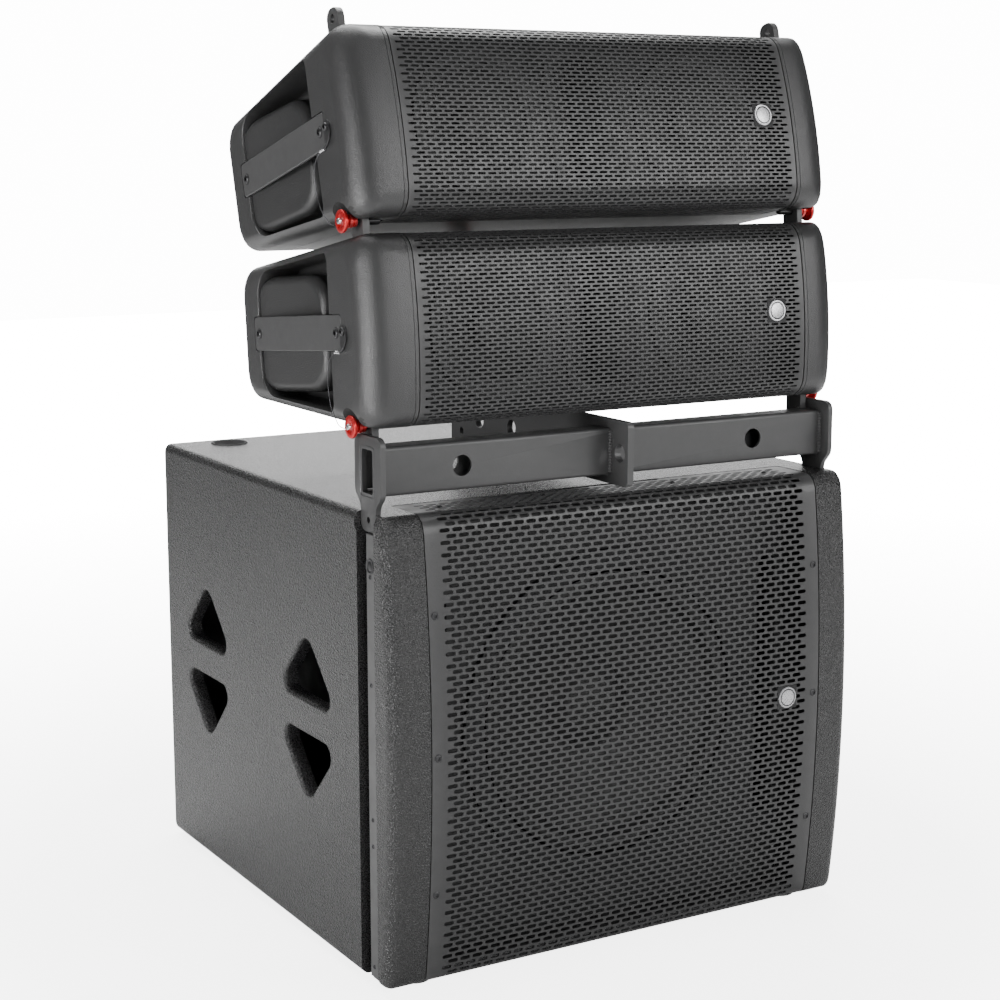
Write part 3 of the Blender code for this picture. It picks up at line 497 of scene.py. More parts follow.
class Finish:
    """Builds one node material step by step."""

    def __init__(self, name, colour, roughness, metallic=0.0):
        self.material = bpy.data.materials.new(name)
        self.material.use_nodes = True
        self.tree = self.material.node_tree
        self.shader = self.tree.nodes["Principled BSDF"]
        self.shader.inputs["Metallic"].default_value = metallic
        self.shader.inputs["Roughness"].default_value = roughness
        self.colour = self.add("RGB").outputs[0]
        self.colour.default_value = (*colour, 1)
        self.normal = None
        self.where = self.add("TexCoord").outputs["Object"]

    def add(self, kind, inputs=(), **settings):
        return add_node(self.tree, kind, inputs, **settings)

    def noise(self, scale, detail=3.0, stretch=None):
        where = self.where
        if stretch:
            where = self.add("Mapping", {"Vector": where, "Scale": stretch}).outputs["Vector"]
        return self.add("TexNoise", {"Vector": where, "Scale": scale, "Detail": detail}).outputs["Fac"]

    def cells(self, scale, smooth):
        inputs = {"Vector": self.where, "Scale": scale, "Smoothness": smooth}
        return self.add("TexVoronoi", inputs, feature="SMOOTH_F1").outputs["Distance"]

    def ranged(self, value, low, high, out_low, out_high):
        return ranged(self.tree, value, low, high, out_low, out_high)

    def bump(self, height, distance, strength=1.0):
        inputs = {"Height": height, "Distance": distance, "Strength": strength}
        if self.normal:
            inputs["Normal"] = self.normal
        self.normal = self.add("Bump", inputs).outputs["Normal"]
        return self

    def tint(self, share, colour):
        """Blend the colour towards another by a share that may vary over the surface."""
        inputs = {"Factor": share, 6: self.colour, 7: (*colour, 1)}
        self.colour = self.add("Mix", inputs, data_type="RGBA").outputs[2]
        return self

    def mottle(self, scale, depth, colour):
        return self.tint(self.ranged(self.noise(scale, 4), 0.35, 0.65, 0, depth), colour)

    def worn_edges(self, colour, start=0.53, end=0.62, depth=0.5):
        """Lighten the most convex edges, where handling polishes them."""
        convex = self.ranged(self.add("NewGeometry").outputs["Pointiness"], start, end, 0, depth)
        rubbed = self.add("Math", {0: convex, 1: self.noise(90, 4)}, operation="MULTIPLY")
        return self.tint(rubbed.outputs[0], colour)

    def sheen(self, scale, low, high):
        rough = self.ranged(self.noise(scale, 4), 0.3, 0.7, low, high)
        self.tree.links.new(rough, self.shader.inputs["Roughness"])
        return self

    def done(self):
        self.tree.links.new(self.colour, self.shader.inputs["Base Color"])
        if self.normal:
            self.tree.links.new(self.normal, self.shader.inputs["Normal"])
        return self.material


def textured_paint():
    """Sprayed texture paint: millimetre grains with grit between them, and patches of varying gloss."""
    paint = Finish("textured_paint", (0.018, 0.018, 0.0185), 0.28)
    grains = paint.cells(480, 0.25)
    grit = paint.noise(1000, 3)
    paint.tint(paint.ranged(grains, 0.25, 0.7, 0, 0.6), (0.010, 0.010, 0.010))
    paint.mottle(7, 0.35, (0.024, 0.024, 0.024))
    paint.sheen(600, 0.18, 0.36)
    paint.bump(grit, 0.0005, 0.9)
    return paint.bump(grains, 0.0011, 0.95).done()


def moulded_plastic():
    """Injection-moulded ABS with a fine leather-like grain."""
    plastic = Finish("moulded_plastic", (0.036, 0.036, 0.0365), 0.32)
    plastic.mottle(5, 0.3, (0.042, 0.042, 0.042))
    plastic.sheen(30, 0.285, 0.31)
    plastic.worn_edges((0.05, 0.05, 0.05), 0.56, 0.66, 0.3)
    plastic.bump(plastic.cells(1100, 0.5), 0.00028, 0.8)
    return plastic.bump(plastic.noise(2200, 2), 0.00012, 0.7).done()


def powder_coat(name="powder_coat", colour=(0.049, 0.049, 0.0495)):
    """Satin powder coat with its slight orange peel."""
    coat = Finish(name, colour, 0.40)
    coat.mottle(9, 0.3, tuple(1.25 * c for c in colour))
    coat.sheen(50, 0.36, 0.46)
    coat.worn_edges((0.11, 0.11, 0.11))
    coat.bump(coat.noise(420, 2), 0.00018, 0.5)
    return coat.bump(coat.noise(1900, 2), 0.00007, 0.6).done()


def anodised_red():
    red = Finish("anodised_red", (0.62, 0.006, 0.010), 0.28, 0.6)
    red.mottle(60, 0.35, (0.45, 0.004, 0.007))
    red.worn_edges((0.95, 0.35, 0.33), depth=0.8)
    red.bump(red.noise(500, 3, (1, 14, 14)), 0.00004, 0.6)
    return red.sheen(300, 0.24, 0.36).done()


def plated():
    metal = Finish("bright_plated", (0.78, 0.78, 0.79), 0.22, 1.0)
    metal.mottle(120, 0.5, (0.55, 0.55, 0.56))
    return metal.bump(metal.noise(1500, 3), 0.00003, 0.7).sheen(400, 0.16, 0.34).done()


def woven_cable():
    """Seven-strand steel cord, its lay shown as fine slanting ridges."""
    cord = Finish("woven_cable", (0.12, 0.12, 0.125), 0.35, 0.9)
    cord.tint(cord.ranged(cord.noise(1400, 1, (1, 1, 3)), 0.4, 0.6, 0, 0.8), (0.06, 0.06, 0.065))
    return cord.bump(cord.noise(1400, 1, (1, 1, 3)), 0.0003, 0.9).done()


def black_oxide():
    metal = Finish("black_oxide", (0.03, 0.03, 0.032), 0.34, 0.6)
    metal.worn_edges((0.22, 0.22, 0.22), depth=0.7)
    metal.mottle(200, 0.4, (0.06, 0.06, 0.06))
    return metal.bump(metal.noise(1600, 2), 0.00005, 0.6).sheen(220, 0.28, 0.44).done()


def pulp_cone():
    """Pressed paper cone with coarse fibres."""
    pulp = Finish("pulp_cone", (0.016, 0.0158, 0.0155), 0.55)
    pulp.mottle(150, 0.5, (0.024, 0.0235, 0.023))
    pulp.bump(pulp.noise(700, 5), 0.0004, 0.8)
    return pulp.sheen(120, 0.45, 0.7).done()


def cast_metal(name="cast_metal", colour=(0.014, 0.014, 0.0145)):
    cast = Finish(name, colour, 0.45, 0.3)
    cast.mottle(40, 0.4, tuple(1.6 * c for c in colour))
    return cast.bump(cast.noise(600, 4), 0.0003, 0.6).sheen(60, 0.38, 0.55).done()


def rubber(name="foot_rubber", colour=(0.022, 0.022, 0.022)):
    soft = Finish(name, colour, 0.8)
    soft.mottle(25, 0.5, tuple(2.2 * c for c in colour))
    soft.bump(soft.noise(320, 4), 0.0003, 0.6)
    return soft.sheen(45, 0.7, 0.9).done()


def brushed_badge():
    disc = Finish("badge_disc", (0.45, 0.45, 0.46), 0.34, 0.7)
    disc.mottle(180, 0.3, (0.40, 0.40, 0.41))
    return disc.bump(disc.noise(900, 2, (1, 1, 12)), 0.00003, 0.6).sheen(500, 0.22, 0.36).done()


PAINT, PLASTIC, COAT = textured_paint(), moulded_plastic(), powder_coat()
SHEET_COAT = powder_coat("grille_coat", (0.031, 0.031, 0.0315))
RED, PLATED, CORD, OXIDE = anodised_red(), plated(), woven_cable(), black_oxide()
CONE, CAST, RUBBER, BADGE = pulp_cone(), cast_metal(), rubber(), brushed_badge()
FINS = cast_metal("black_anodised", (0.026, 0.026, 0.028))
KNOB = rubber("knob_soft_touch", (0.012, 0.012, 0.0125))
# The dark lining is the real black interior, baffles and washers, and also painted shade in the front pin
# pockets.
LINING_AND_POCKET_SHADE = rubber("flat_black_lining_and_pocket_shade", (0.019, 0.019, 0.019))


# ---------------------------------------------------------------- perforated sheets

def along_path(path, offset):
    """Function from a distance along the path to the point there, and the path's length."""
    points = [p + n * offset for p, n in path]
    marks = [0.0]
    for a, b in zip(points, points[1:]):
        marks.append(marks[-1] + (b - a).length)

    def at(distance):
        index = min(max(bisect.bisect_right(marks, distance) - 1, 0), len(points) - 2)
        share = (distance - marks[index]) / (marks[index + 1] - marks[index])
        return points[index].lerp(points[index + 1], min(max(share, 0), 1))

    return at, marks[-1]


def perforated_sheet(name, path, half_width, slots, border, margin, notch=0.0):
    """Sheet bent along the path, punched with staggered round-ended slots.

    border and margin are the plain strips at the sides and at the path's ends;
    notch is the half width of a shallow step cut out of the first end."""
    slot_long, slot_high, pitch, row = slots
    at, length = along_path(path, -GAP)
    rows = int((length - 2 * margin) / row)
    first = (length - rows * row) / 2
    cells = int((half_width - border) * 2 / pitch)
    edge = -cells * pitch / 2
    columns = [-half_width] + [edge + index * pitch / 2 for index in range(2 * cells + 1)] + [half_width]
    plain = max(2, math.ceil(first / row))
    bm, known = bmesh.new(), {}

    def vertex(x, s):
        key = (round(x * 1e6), round(s * 1e6))
        if key not in known:
            known[key] = bm.verts.new((x, *at(s)))
        return known[key]

    def quad(x0, x1, s0, s1):
        bm.faces.new([vertex(x0, s1), vertex(x1, s1), vertex(x1, s0), vertex(x0, s0)])

    def cell(x0, s0, s1):
        x1, x, s = x0 + pitch, x0 + pitch / 2, (s0 + s1) / 2
        r = slot_high / 2
        reach = slot_long / 2 - r
        arcs = []
        for sign in (1, -1):
            turns = [math.radians(a) for a in (-90, -35, 35, 90)]
            arcs.append([vertex(x + sign * (reach + r * math.cos(a)), s + sign * r * math.sin(a))
                         for a in turns])
        right, left = arcs
        a, b, c, d = vertex(x0, s0), vertex(x1, s0), vertex(x1, s1), vertex(x0, s1)
        bm.faces.new([left[3], right[0], b, vertex(x, s0), a])
        bm.faces.new(right + [c, b])
        bm.faces.new([right[3], left[0], d, vertex(x, s1), c])
        bm.faces.new(left + [a, d])

    for end, (start, stop) in enumerate(((0, first), (length - first, length))):
        step = (stop - start) / plain
        for index in range(plain):
            for x0, x1 in zip(columns, columns[1:]):
                if end == 0 and index == 0 and max(abs(x0), abs(x1)) < notch:
                    continue
                quad(x0, x1, start + index * step, start + (index + 1) * step)
    for index in range(rows):
        s0, s1 = first + index * row, first + (index + 1) * row
        quad(columns[0], columns[1], s0, s1)
        quad(columns[-2], columns[-1], s0, s1)
        shift = index % 2
        if shift:
            quad(columns[1], columns[2], s0, s1)
            quad(columns[-3], columns[-2], s0, s1)
        for count in range(cells - shift):
            cell(columns[1 + shift + 2 * count], s0, s1)
    mesh = bpy.data.meshes.new(name)
    bm.to_mesh(mesh)
    bm.free()
    sheet = bpy.data.objects.new(name, mesh)
    bpy.context.scene.collection.objects.link(sheet)
    step = sheet.modifiers.new("thickness", "SOLIDIFY")
    step.thickness = SHEET
    step.offset = -1
    bake(sheet)
    return sheet


def build_sub_grille():
    path = front_path(sub_outline(), SHEET_END)
    sheet = perforated_sheet("sub_grille_sheet", path, SUB_GRILLE_HALF - SEAM, SUB_SLOTS,
                             border=0.0168, margin=0.008, notch=0.088)
    finished(sheet, SHEET_COAT, "base", stands_for=["sub_grille"])


def build_box_grille(box):
    path = front_path(box_outline(), 0.0193)
    sheet = perforated_sheet(f"{box}_grille_sheet", path, BOX_GRILLE_HALF - SEAM, BOX_SLOTS,
                             border=0.0044, margin=0.004)
    finished(sheet, SHEET_COAT, f"{box}_box", box, [f"{box}_grille"])


# ---------------------------------------------------------------- subwoofer

def hold_triangle(y, up):
    """Rounded triangle of one hand hold, above or below the grip bar."""
    base, tip = SUB_MID + up * GRIP_HALF, SUB_MID + up * (GRIP_HALF + HOLD_HEIGHT)
    return rounded([(y - HOLD_SPAN / 2, base, 0.013), (y + HOLD_SPAN / 2, base, 0.013), (y, tip, 0.020)])


def in_chamber(point):
    """Whether a point lies behind the subwoofer's skin."""
    height = point.z - SUB_MID
    front = -SUB_HALF_DEPTH + height ** 2 / (2 * SUB_BARREL_RADIUS)
    deep = front + 0.004 < point.y < SUB_HALF_DEPTH - 0.012
    return deep and abs(height) < SUB_HALF_HEIGHT - 0.004 and abs(point.x) < SUB_HALF_WIDTH - 0.012


def build_cabinet():
    bm = bmesh.new()
    pillow(bm, sub_outline(), SUB_HALF_WIDTH, SUB_SIDE_RADII)
    cabinet = object_of("cabinet_shell", bm)

    chamber, neck, rear = SUB_HALF_WIDTH - PLY, JOINT_Y + 0.020, SUB_HALF_DEPTH - PLY
    room = [(-SUB_OPENING, -0.40), (SUB_OPENING, -0.40), (SUB_OPENING, neck), (chamber, neck),
            (chamber, rear), (-chamber, rear), (-chamber, neck), (-SUB_OPENING, neck)]
    bm = bmesh.new()
    extrude(bm, room, SUB_LOW.z + PLY, SUB_HIGH.z - PLY, "Z")
    carve(cabinet, bm)

    bm = bmesh.new()
    seat = band(front_path(sub_outline(), SHEET_END + 0.001), THROUGH, -SEAT_DEPTH)
    extrude(bm, seat, -SUB_GRILLE_HALF - 2 * GAP, SUB_GRILLE_HALF + 2 * GAP)
    carve(cabinet, bm)

    bm = bmesh.new()
    reach = SUB_OPENING - 0.002
    upper = [pair for pair in front_path(sub_outline(), JOINT_Y - 0.012) if pair[0].y > SUB_LOW.z + 0.016]
    extrude(bm, band(upper, -0.001, -0.009), -reach, reach)
    carve(cabinet, bm)

    bm = bmesh.new()
    for side in (-1, 1):
        seat_x, seat_y = STRIP_INNER - GAP, STRIP_BACK + GAP
        groove = [(CLEAR, GROOVE_BACK), (GROOVE_FLOOR, GROOVE_BACK), (GROOVE_FLOOR, seat_y),
                  (seat_x, seat_y), (seat_x, STRIP_FRONT - GAP), (CLEAR, STRIP_FRONT - GAP)]
        extrude(bm, mirrored(groove, side), -THROUGH, SUB_HIGH.z + THROUGH, "Z")
        for y in HOLD_PLACES:
            for up in (-1, 1):
                mouth(bm, hold_triangle(y, up), side, SUB_HALF_WIDTH, PLY + 0.012, HOLD_FLARE)
    for place in CUP_PLACES:
        turn(bm, [(SUB_HIGH.z - 0.008, CUP_RADIUS), (SUB_HIGH.z + THROUGH, CUP_RADIUS)], place, "Z")
    low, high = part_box("sub_amp_panel")
    opening = rectangle(low.x - GAP, high.x + GAP, low.z - GAP, high.z + GAP, 0.004)
    extrude(bm, opening, SUB_HALF_DEPTH - PLY - 0.01, SUB_HALF_DEPTH + THROUGH, "Y")
    carve(cabinet, bm)

    bm = bmesh.new()
    for side, word in SIDES:
        low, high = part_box(f"frame_end_plate_{word}")
        limits = across(side, min(abs(low.x), abs(high.x)) - GAP, SUB_HALF_WIDTH + THROUGH)
        slab(bm, limits, (JOINT_Y - 0.022, JOINT_Y + 0.014), (low.z - 0.0005, SUB_HIGH.z + THROUGH), 0.008)
    carve(cabinet, bm)
    finished(cabinet, PAINT, "base", stands_for=["sub_cabinet"], weighted=True, angle=32, lined_or_shaded=in_chamber)


def build_cup_inserts():
    """Moulded cups in the lid that take the feet of a cabinet stacked on top."""
    bm = bmesh.new()
    top = SUB_HIGH.z
    bowl = [(-0.0070, 0.0030), (-0.0072, 0.0140), (-0.0040, 0.0180), (0.0004, 0.0196), (0.0013, 0.0208),
            (0.0014, 0.0226), (0.0002, 0.0238), (0.0002, 0.0212), (-0.0076, 0.0212), (-0.0076, 0.0030)]
    bolt = [(-0.0074, 0.0034), (-0.0058, 0.0034), (-0.0050, 0.0026)]
    for place in CUP_PLACES:
        turn(bm, [(top + lift, radius) for lift, radius in bowl], place, "Z", 40, True)
        turn(bm, [(top + lift, radius) for lift, radius in bolt], place, "Z", 20)
    piece("stacking_cups", bm, KNOB, "base")


def build_strips():
    """Side rails beside the black grooves, with their screws and the washer under each lug."""
    washers, screws = bmesh.new(), bmesh.new()
    middle = (STRIP_FRONT + STRIP_BACK) / 2 + 0.004
    for side, word in SIDES:
        node = f"side_strip_{word}"
        low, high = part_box(node)
        face = side * STRIP_OUTER
        bm = bmesh.new()
        outline = rectangle(STRIP_FRONT, STRIP_BACK, low.z, high.z)
        plate(bm, outline, side * STRIP_INNER, face, 0.0006)
        piece(f"side_rail_{word}", bm, COAT, "base", stands_for=[node])
        for height in (0.012, 0.150, 0.180, 0.330, 0.448):
            screw(screws, (face, middle, low.z + height), "X", 0.0026, 0.0010, side)
        washer = [(-0.0004, 0.0088), (0.0008, 0.0086), (0.0010, 0.0074), (0.0002, 0.0060),
                  (0.0002, 0.0050), (0.0006, 0.0044)]
        profile = [(face + side * lift, radius) for lift, radius in washer]
        turn(washers, profile, (middle, high.z - 0.034), "X", 28)
    piece("side_rail_screws", screws, OXIDE, "base")
    piece("side_rail_washers", washers, OXIDE, "base")


def build_grille_screws():
    bm = bmesh.new()
    x = SUB_GRILLE_HALF - 0.008
    for side in (-1, 1):
        for height in SCREW_HEIGHTS:
            z = SUB_LOW.z + height
            front = -SUB_HALF_DEPTH + (z - SUB_MID) ** 2 / (2 * SUB_BARREL_RADIUS)
            screw(bm, (side * x, front + GAP, z), "Y", 0.0043, 0.0014, -1)
        for share in (0.34, 0.86):
            screw(bm, (side * x * share, JOINT_Y - 0.010, SUB_HIGH.z - GAP), "Z", 0.0030, 0.0012)
    piece("grille_screws", bm, OXIDE, "base")


def build_feet():
    for node in [name for name in NODES if name.startswith("foot_")]:
        low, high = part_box(node)
        centre = ((low.x + high.x) / 2, (low.y + high.y) / 2)
        bm = bmesh.new()
        profile = [(0.0030, 0.0045), (0.0006, 0.0075), (0, 0.0100), (0, 0.0155), (0.0006, 0.0170),
                   (0.0020, 0.0180), (0.0060, 0.0192), (high.z, 0.0198), (high.z, 0.0045)]
        turn(bm, profile, centre, "Z", 40, True)
        turn(bm, [(0.0034, 0.0040), (0.0046, 0.0043), (high.z, 0.0043)], centre, "Z", 20)
        piece(f"rubber_{node}", bm, RUBBER, "base", stands_for=[node])


def connector(bm, place, radius=0.0125):
    """Round panel socket on the back: flange, key slot ring and three pins."""
    x, y, z = place
    flange = rectangle(x - radius, x + radius, z - 0.0155, z + 0.0155, 0.003)
    extrude(bm, flange, y - 0.0004, y + 0.0016, "Y")
    profile = [(y + 0.0012, 0.0108), (y + 0.0045, 0.0106), (y + 0.0050, 0.0100), (y + 0.0050, 0.0088),
               (y + 0.0012, 0.0086)]
    turn(bm, profile, (x, z), "Y", 32, True)
    for angle in (90, 210, 330):
        a = math.radians(angle)
        spot = (x + 0.0045 * math.cos(a), z + 0.0045 * math.sin(a))
        turn(bm, [(y + 0.0010, 0.0012), (y + 0.0042, 0.0012), (y + 0.0048, 0.0007)], spot, "Y", 12)
    for corner in (-1, 1):
        screw(bm, (x + corner * (radius - 0.003), y + 0.0016, z - corner * 0.0125), "Y", 0.0018, 0.0009, 1)


def build_amplifier():
    refined("sub_amp_panel", "amplifier_plate", "base", 0.0005)
    refined("sub_heatsink", "amplifier_fins", "base", 0.0004, FINS)
    low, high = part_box("sub_amp_panel")
    face = high.y
    bm = bmesh.new()
    for x in (-0.10, -0.065):
        connector(bm, (x, face, low.z + 0.045))
    for x in (-0.105, 0.105):
        connector(bm, (x, face, high.z - 0.060))
    for x in (low.x + 0.008, 0, high.x - 0.008):
        for z in (low.z + 0.008, high.z - 0.008):
            screw(bm, (x, face, z), "Y", 0.0034, 0.0018, 1)
    piece("amplifier_sockets", bm, OXIDE, "base")
    bm = bmesh.new()
    rocker = [(0.0, 0.0), (0.0100, 0.0), (0.0100, 0.0030), (0.0050, 0.0022), (0.0, 0.0052)]
    outline = [(face + depth, low.z + 0.034 + 2.2 * along) for along, depth in rocker]
    extrude(bm, outline, -0.012, 0.006)
    piece("mains_rocker", bm, KNOB, "base")
    build_level_knob()


def build_level_knob():
    low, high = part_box("sub_level_knob")
    centre = ((low.x + high.x) / 2, (low.z + high.z) / 2)
    radius = (high.x - low.x) / 2
    sides, rings = 72, []
    bm = bmesh.new()
    levels = [(low.y, 1.0, 0), (low.y + 0.0020, 1.0, 0), (low.y + 0.0030, 0.86, 1),
              (high.y - 0.0015, 0.80, 1), (high.y - 0.0002, 0.72, 0), (high.y, 0.62, 0)]
    for y, share, fluted in levels:
        ring = []
        for index in range(sides):
            angle = 2 * math.pi * index / sides
            reach = radius * share * (1 - 0.05 * fluted * (index % 4 == 0))
            x, z = centre[0] + reach * math.cos(angle), centre[1] + reach * math.sin(angle)
            ring.append(bm.verts.new((x, y, z)))
        rings.append(ring)
    loft(bm, rings)
    piece("level_knob", bm, KNOB, "sub_level_knob", stands_for=["sub_level_knob"])
    bm = bmesh.new()
    slab(bm, (centre[0] - 0.0005, centre[0] + 0.0005), (high.y - 0.0003, high.y + 0.0002),
         (centre[1] + 0.001, centre[1] + radius * 0.6))
    piece("level_knob_pointer", bm, BADGE, "sub_level_knob")


def build_badge(name, body, place, half, box=None):
    """Plain round badge: a domed disc with a dark ring near its rim, on a square black plate."""
    x, y, z = place
    bm = bmesh.new()
    square = rectangle(x - half, x + half, z - half, z + half, 0.0012)
    plate(bm, square, y + 0.0006, y - 0.0008, 0.0004, "Y")
    piece(f"{name}_plate", bm, KNOB, body, box)
    radius = half * 0.90
    bm = bmesh.new()
    dome = [(0.0006, 1.0), (0.0014, 1.0), (0.0020, 0.95), (0.0020, 0.84), (0.0015, 0.81), (0.0015, 0.76),
            (0.0021, 0.72), (0.0024, 0.40), (0.0025, 0.05)]
    turn(bm, [(y - lift, radius * share) for lift, share in dome], (x, z), "Y", 48)
    piece(f"{name}_disc", bm, BADGE, body, box)
    bm = bmesh.new()
    ring = [(0.0012, 0.84), (0.0022, 0.83), (0.0022, 0.74), (0.0012, 0.73)]
    turn(bm, [(y - lift, radius * share) for lift, share in ring], (x, z), "Y", 48, True)
    piece(f"{name}_ring", bm, KNOB, body, box)


# ---------------------------------------------------------------- stacking frame

def build_frame():
    refined("frame_spine", "spine_plate", "base", 0.0009)
    tube_low, tube_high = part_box("frame_tube_right")
    middle = (tube_low.z + tube_high.z) / 2
    for side, word in SIDES:
        for part in ("tube", "end_plate", "lug"):
            node = f"frame_{part}_{word}"
            steel = refined(node, f"{node}_steel", "base", 0.0008)
            if part == "lug":
                continue
            bm = bmesh.new()
            depth = (tube_low.y + 0.0032, tube_high.y - 0.0032)
            height = (tube_low.z + 0.003, tube_high.z - 0.003)
            slab(bm, across(side, SPINE_FACE + 0.006, CLEAR), depth, height, 0.003)
            carve(steel, bm)
            if part == "tube":
                bm = bmesh.new()
                hole = circle(side * 0.195, middle, 0.0115, 40)
                extrude(bm, hole, tube_low.y - THROUGH, tube_high.y + THROUGH, "Y")
                carve(steel, bm)
            shade(steel.data)
    bm = bmesh.new()
    for side, word in SIDES:
        root, tip = side * tube_low.x, side * tube_high.x
        front, back = tube_low.y, tube_high.y
        for x in (root + side * 0.0006, tip - side * 0.0006):
            for y, radius in ((front, 0.0032), (back, 0.0034)):
                weld_bead(bm, (x, y, tube_low.z + 0.003), (x, y, tube_high.z - 0.003), radius)
            weld_bead(bm, (x, front + 0.004, tube_low.z), (x, back - 0.004, tube_low.z), 0.0018)
        lug_low, lug_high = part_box(f"frame_lug_{word}")
        for x in (lug_low.x, lug_high.x):
            weld_bead(bm, (x, tube_low.y + 0.024, tube_high.z), (x, tube_high.y, tube_high.z), 0.0022)
    piece("weld_beads", bm, COAT, "base")
    bm = bmesh.new()
    for side, word in SIDES:
        low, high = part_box(f"frame_end_plate_{word}")
        face = high.x if side > 0 else low.x
        proud = 0.0005
        contour = rectangle(tube_low.y - proud, tube_high.y + proud, tube_low.z - proud, tube_high.z + proud,
                            0.004, 3)
        curve = [Vector((face, y, z)) for y, z in contour + contour[:1]]
        tube(bm, curve, 0.00045, 6)
    piece("tube_end_seams", bm, OXIDE, "base")


# ---------------------------------------------------------------- wedge boxes

def in_cavity(point):
    """Whether a point lies behind a wedge box's skin."""
    height = point.z - BOX_MID
    front = BOX_FRONT + height ** 2 / (2 * BOX_BARREL_RADIUS)
    deep = front + 0.004 < point.y < BOX_BACK - 0.010
    low = abs(height) < box_half_height(point.y) - 0.004
    return deep and low and abs(point.x) < BOX_GRILLE_HALF + 0.003


def in_pin_pocket_shade(point):
    """Whether a point lies in the pocket round a front pin, whose faces take the dark lining as painted
    shade.
    """
    return 0.285 < abs(point.x) < BOX_HALF_WIDTH - 0.0035 and math.hypot(point.y, point.z) < 0.025


def build_box_shell(box):
    bm = bmesh.new()
    pillow(bm, box_outline(), BOX_HALF_WIDTH, BOX_SIDE_RADII)
    shell = object_of(f"{box}_housing", bm)

    bm = bmesh.new()
    seat = band(front_path(box_outline(), 0.020), THROUGH, -SEAT_DEPTH)
    extrude(bm, seat, -BOX_GRILLE_HALF - 2 * GAP, BOX_GRILLE_HALF + 2 * GAP)
    carve(shell, bm)

    bm = bmesh.new()
    reach = BOX_GRILLE_HALF - 0.005
    floor = BOX_MID - BOX_FRONT_HALF + 0.03
    upper = [pair for pair in front_path(box_outline(), 0.014) if pair[0].y > floor]
    extrude(bm, band(upper, -0.001, -0.006), -reach, reach)
    carve(shell, bm)

    bm = bmesh.new()
    slab(bm, (-reach, reach), (-0.20, -0.015), (BOX_MID - 0.088, BOX_MID + 0.088))
    carve(shell, bm)

    bm = bmesh.new()
    extrude(bm, wedge(-0.090, BOX_BACK - 0.022, BOX_WALL, 0.0, 0.020), -BOX_CAVITY_HALF, BOX_CAVITY_HALF)
    for side in (-1, 1):
        recess = wedge(RECESS_FRONT, RECESS_BACK, 0.010, 0.010, 0.034)
        mouth(bm, recess, side, BOX_HALF_WIDTH, BOX_HALF_WIDTH - RECESS_FLOOR, 0.0016, 0.006)
        slab(bm, across(side, LUG_INNER - 0.0015, LUG_OUTER + 0.0015), (-0.026, 0.026), (-0.03, 0.036))
        limits = across(side, LUG_INNER - GAP, LUG_OUTER + 0.0025)
        slab(bm, limits, (LINK_Y - LINK_HALF_WIDTH - GAP, LINK_Y + LINK_HALF_WIDTH + GAP), (0.150, 0.230))
    carve(shell, bm)

    bm = bmesh.new()
    pad = rectangle(PAD_FRONT, RECESS_BACK + 0.012, BOX_MID - 0.066, BOX_MID + 0.064, 0.036)
    pillow(bm, pad, PAD_TOP, (0.010, 0.002, 0.010), 6)
    for vertex in bm.verts:
        vertex.co.x -= math.copysign(max(0.0, RECESS_BACK - vertex.co.y) * PAD_SLOPE, vertex.co.x)
    tool = object_of("pad", bm)
    bm = bmesh.new()
    middle = RECESS_FLOOR - 0.010
    extrude(bm, rectangle(-0.4, 0.4, -0.4, 0.4), -middle, middle)
    carve(tool, bm)
    bm = bmesh.new()
    bm.from_mesh(tool.data)
    bpy.data.objects.remove(tool)
    carve(shell, bm, "UNION")

    bm = bmesh.new()
    low, high = local_limits(f"{box}_input_panel", box)
    extrude(bm, rectangle(low.x - GAP, high.x + GAP, low.z - GAP, high.z + GAP, 0.003), 0.25, 0.30, "Y")
    for side in (-1, 1):
        turn(bm, mirrored([(0.2925, 0.0125), (0.3000, 0.0150), (0.322, 0.0245)], side))
        seat = across(side, HANDLE_INNER - GAP, BOX_HALF_WIDTH + THROUGH)
        slab(bm, seat, (HANDLE_FRONT - SEAM, HANDLE_BACK + SEAM),
             (BOX_MID - HANDLE_HALF - SEAM, BOX_MID + HANDLE_HALF + SEAM), 0.004)
    carve(shell, bm)

    bm = bmesh.new()
    for side in (-1, 1):
        turn(bm, mirrored([(0.262, BORE_RADIUS), (0.302, BORE_RADIUS)], side), sides=20)
    seam = band(front_path(box_outline(), BOX_BACK - 0.045), 0.004, -0.0007)
    for side in (-1, 1):
        extrude(bm, seam, *across(side, BOX_GRILLE_HALF + 0.0045, BOX_GRILLE_HALF + 0.0051))
    carve(shell, bm)
    # The pockets round the front pins take the dark lining as painted shade.
    finished(shell, PLASTIC, f"{box}_box", box, [f"{box}_shell"], True, 32,
             lambda point: in_cavity(point) or in_pin_pocket_shade(point))


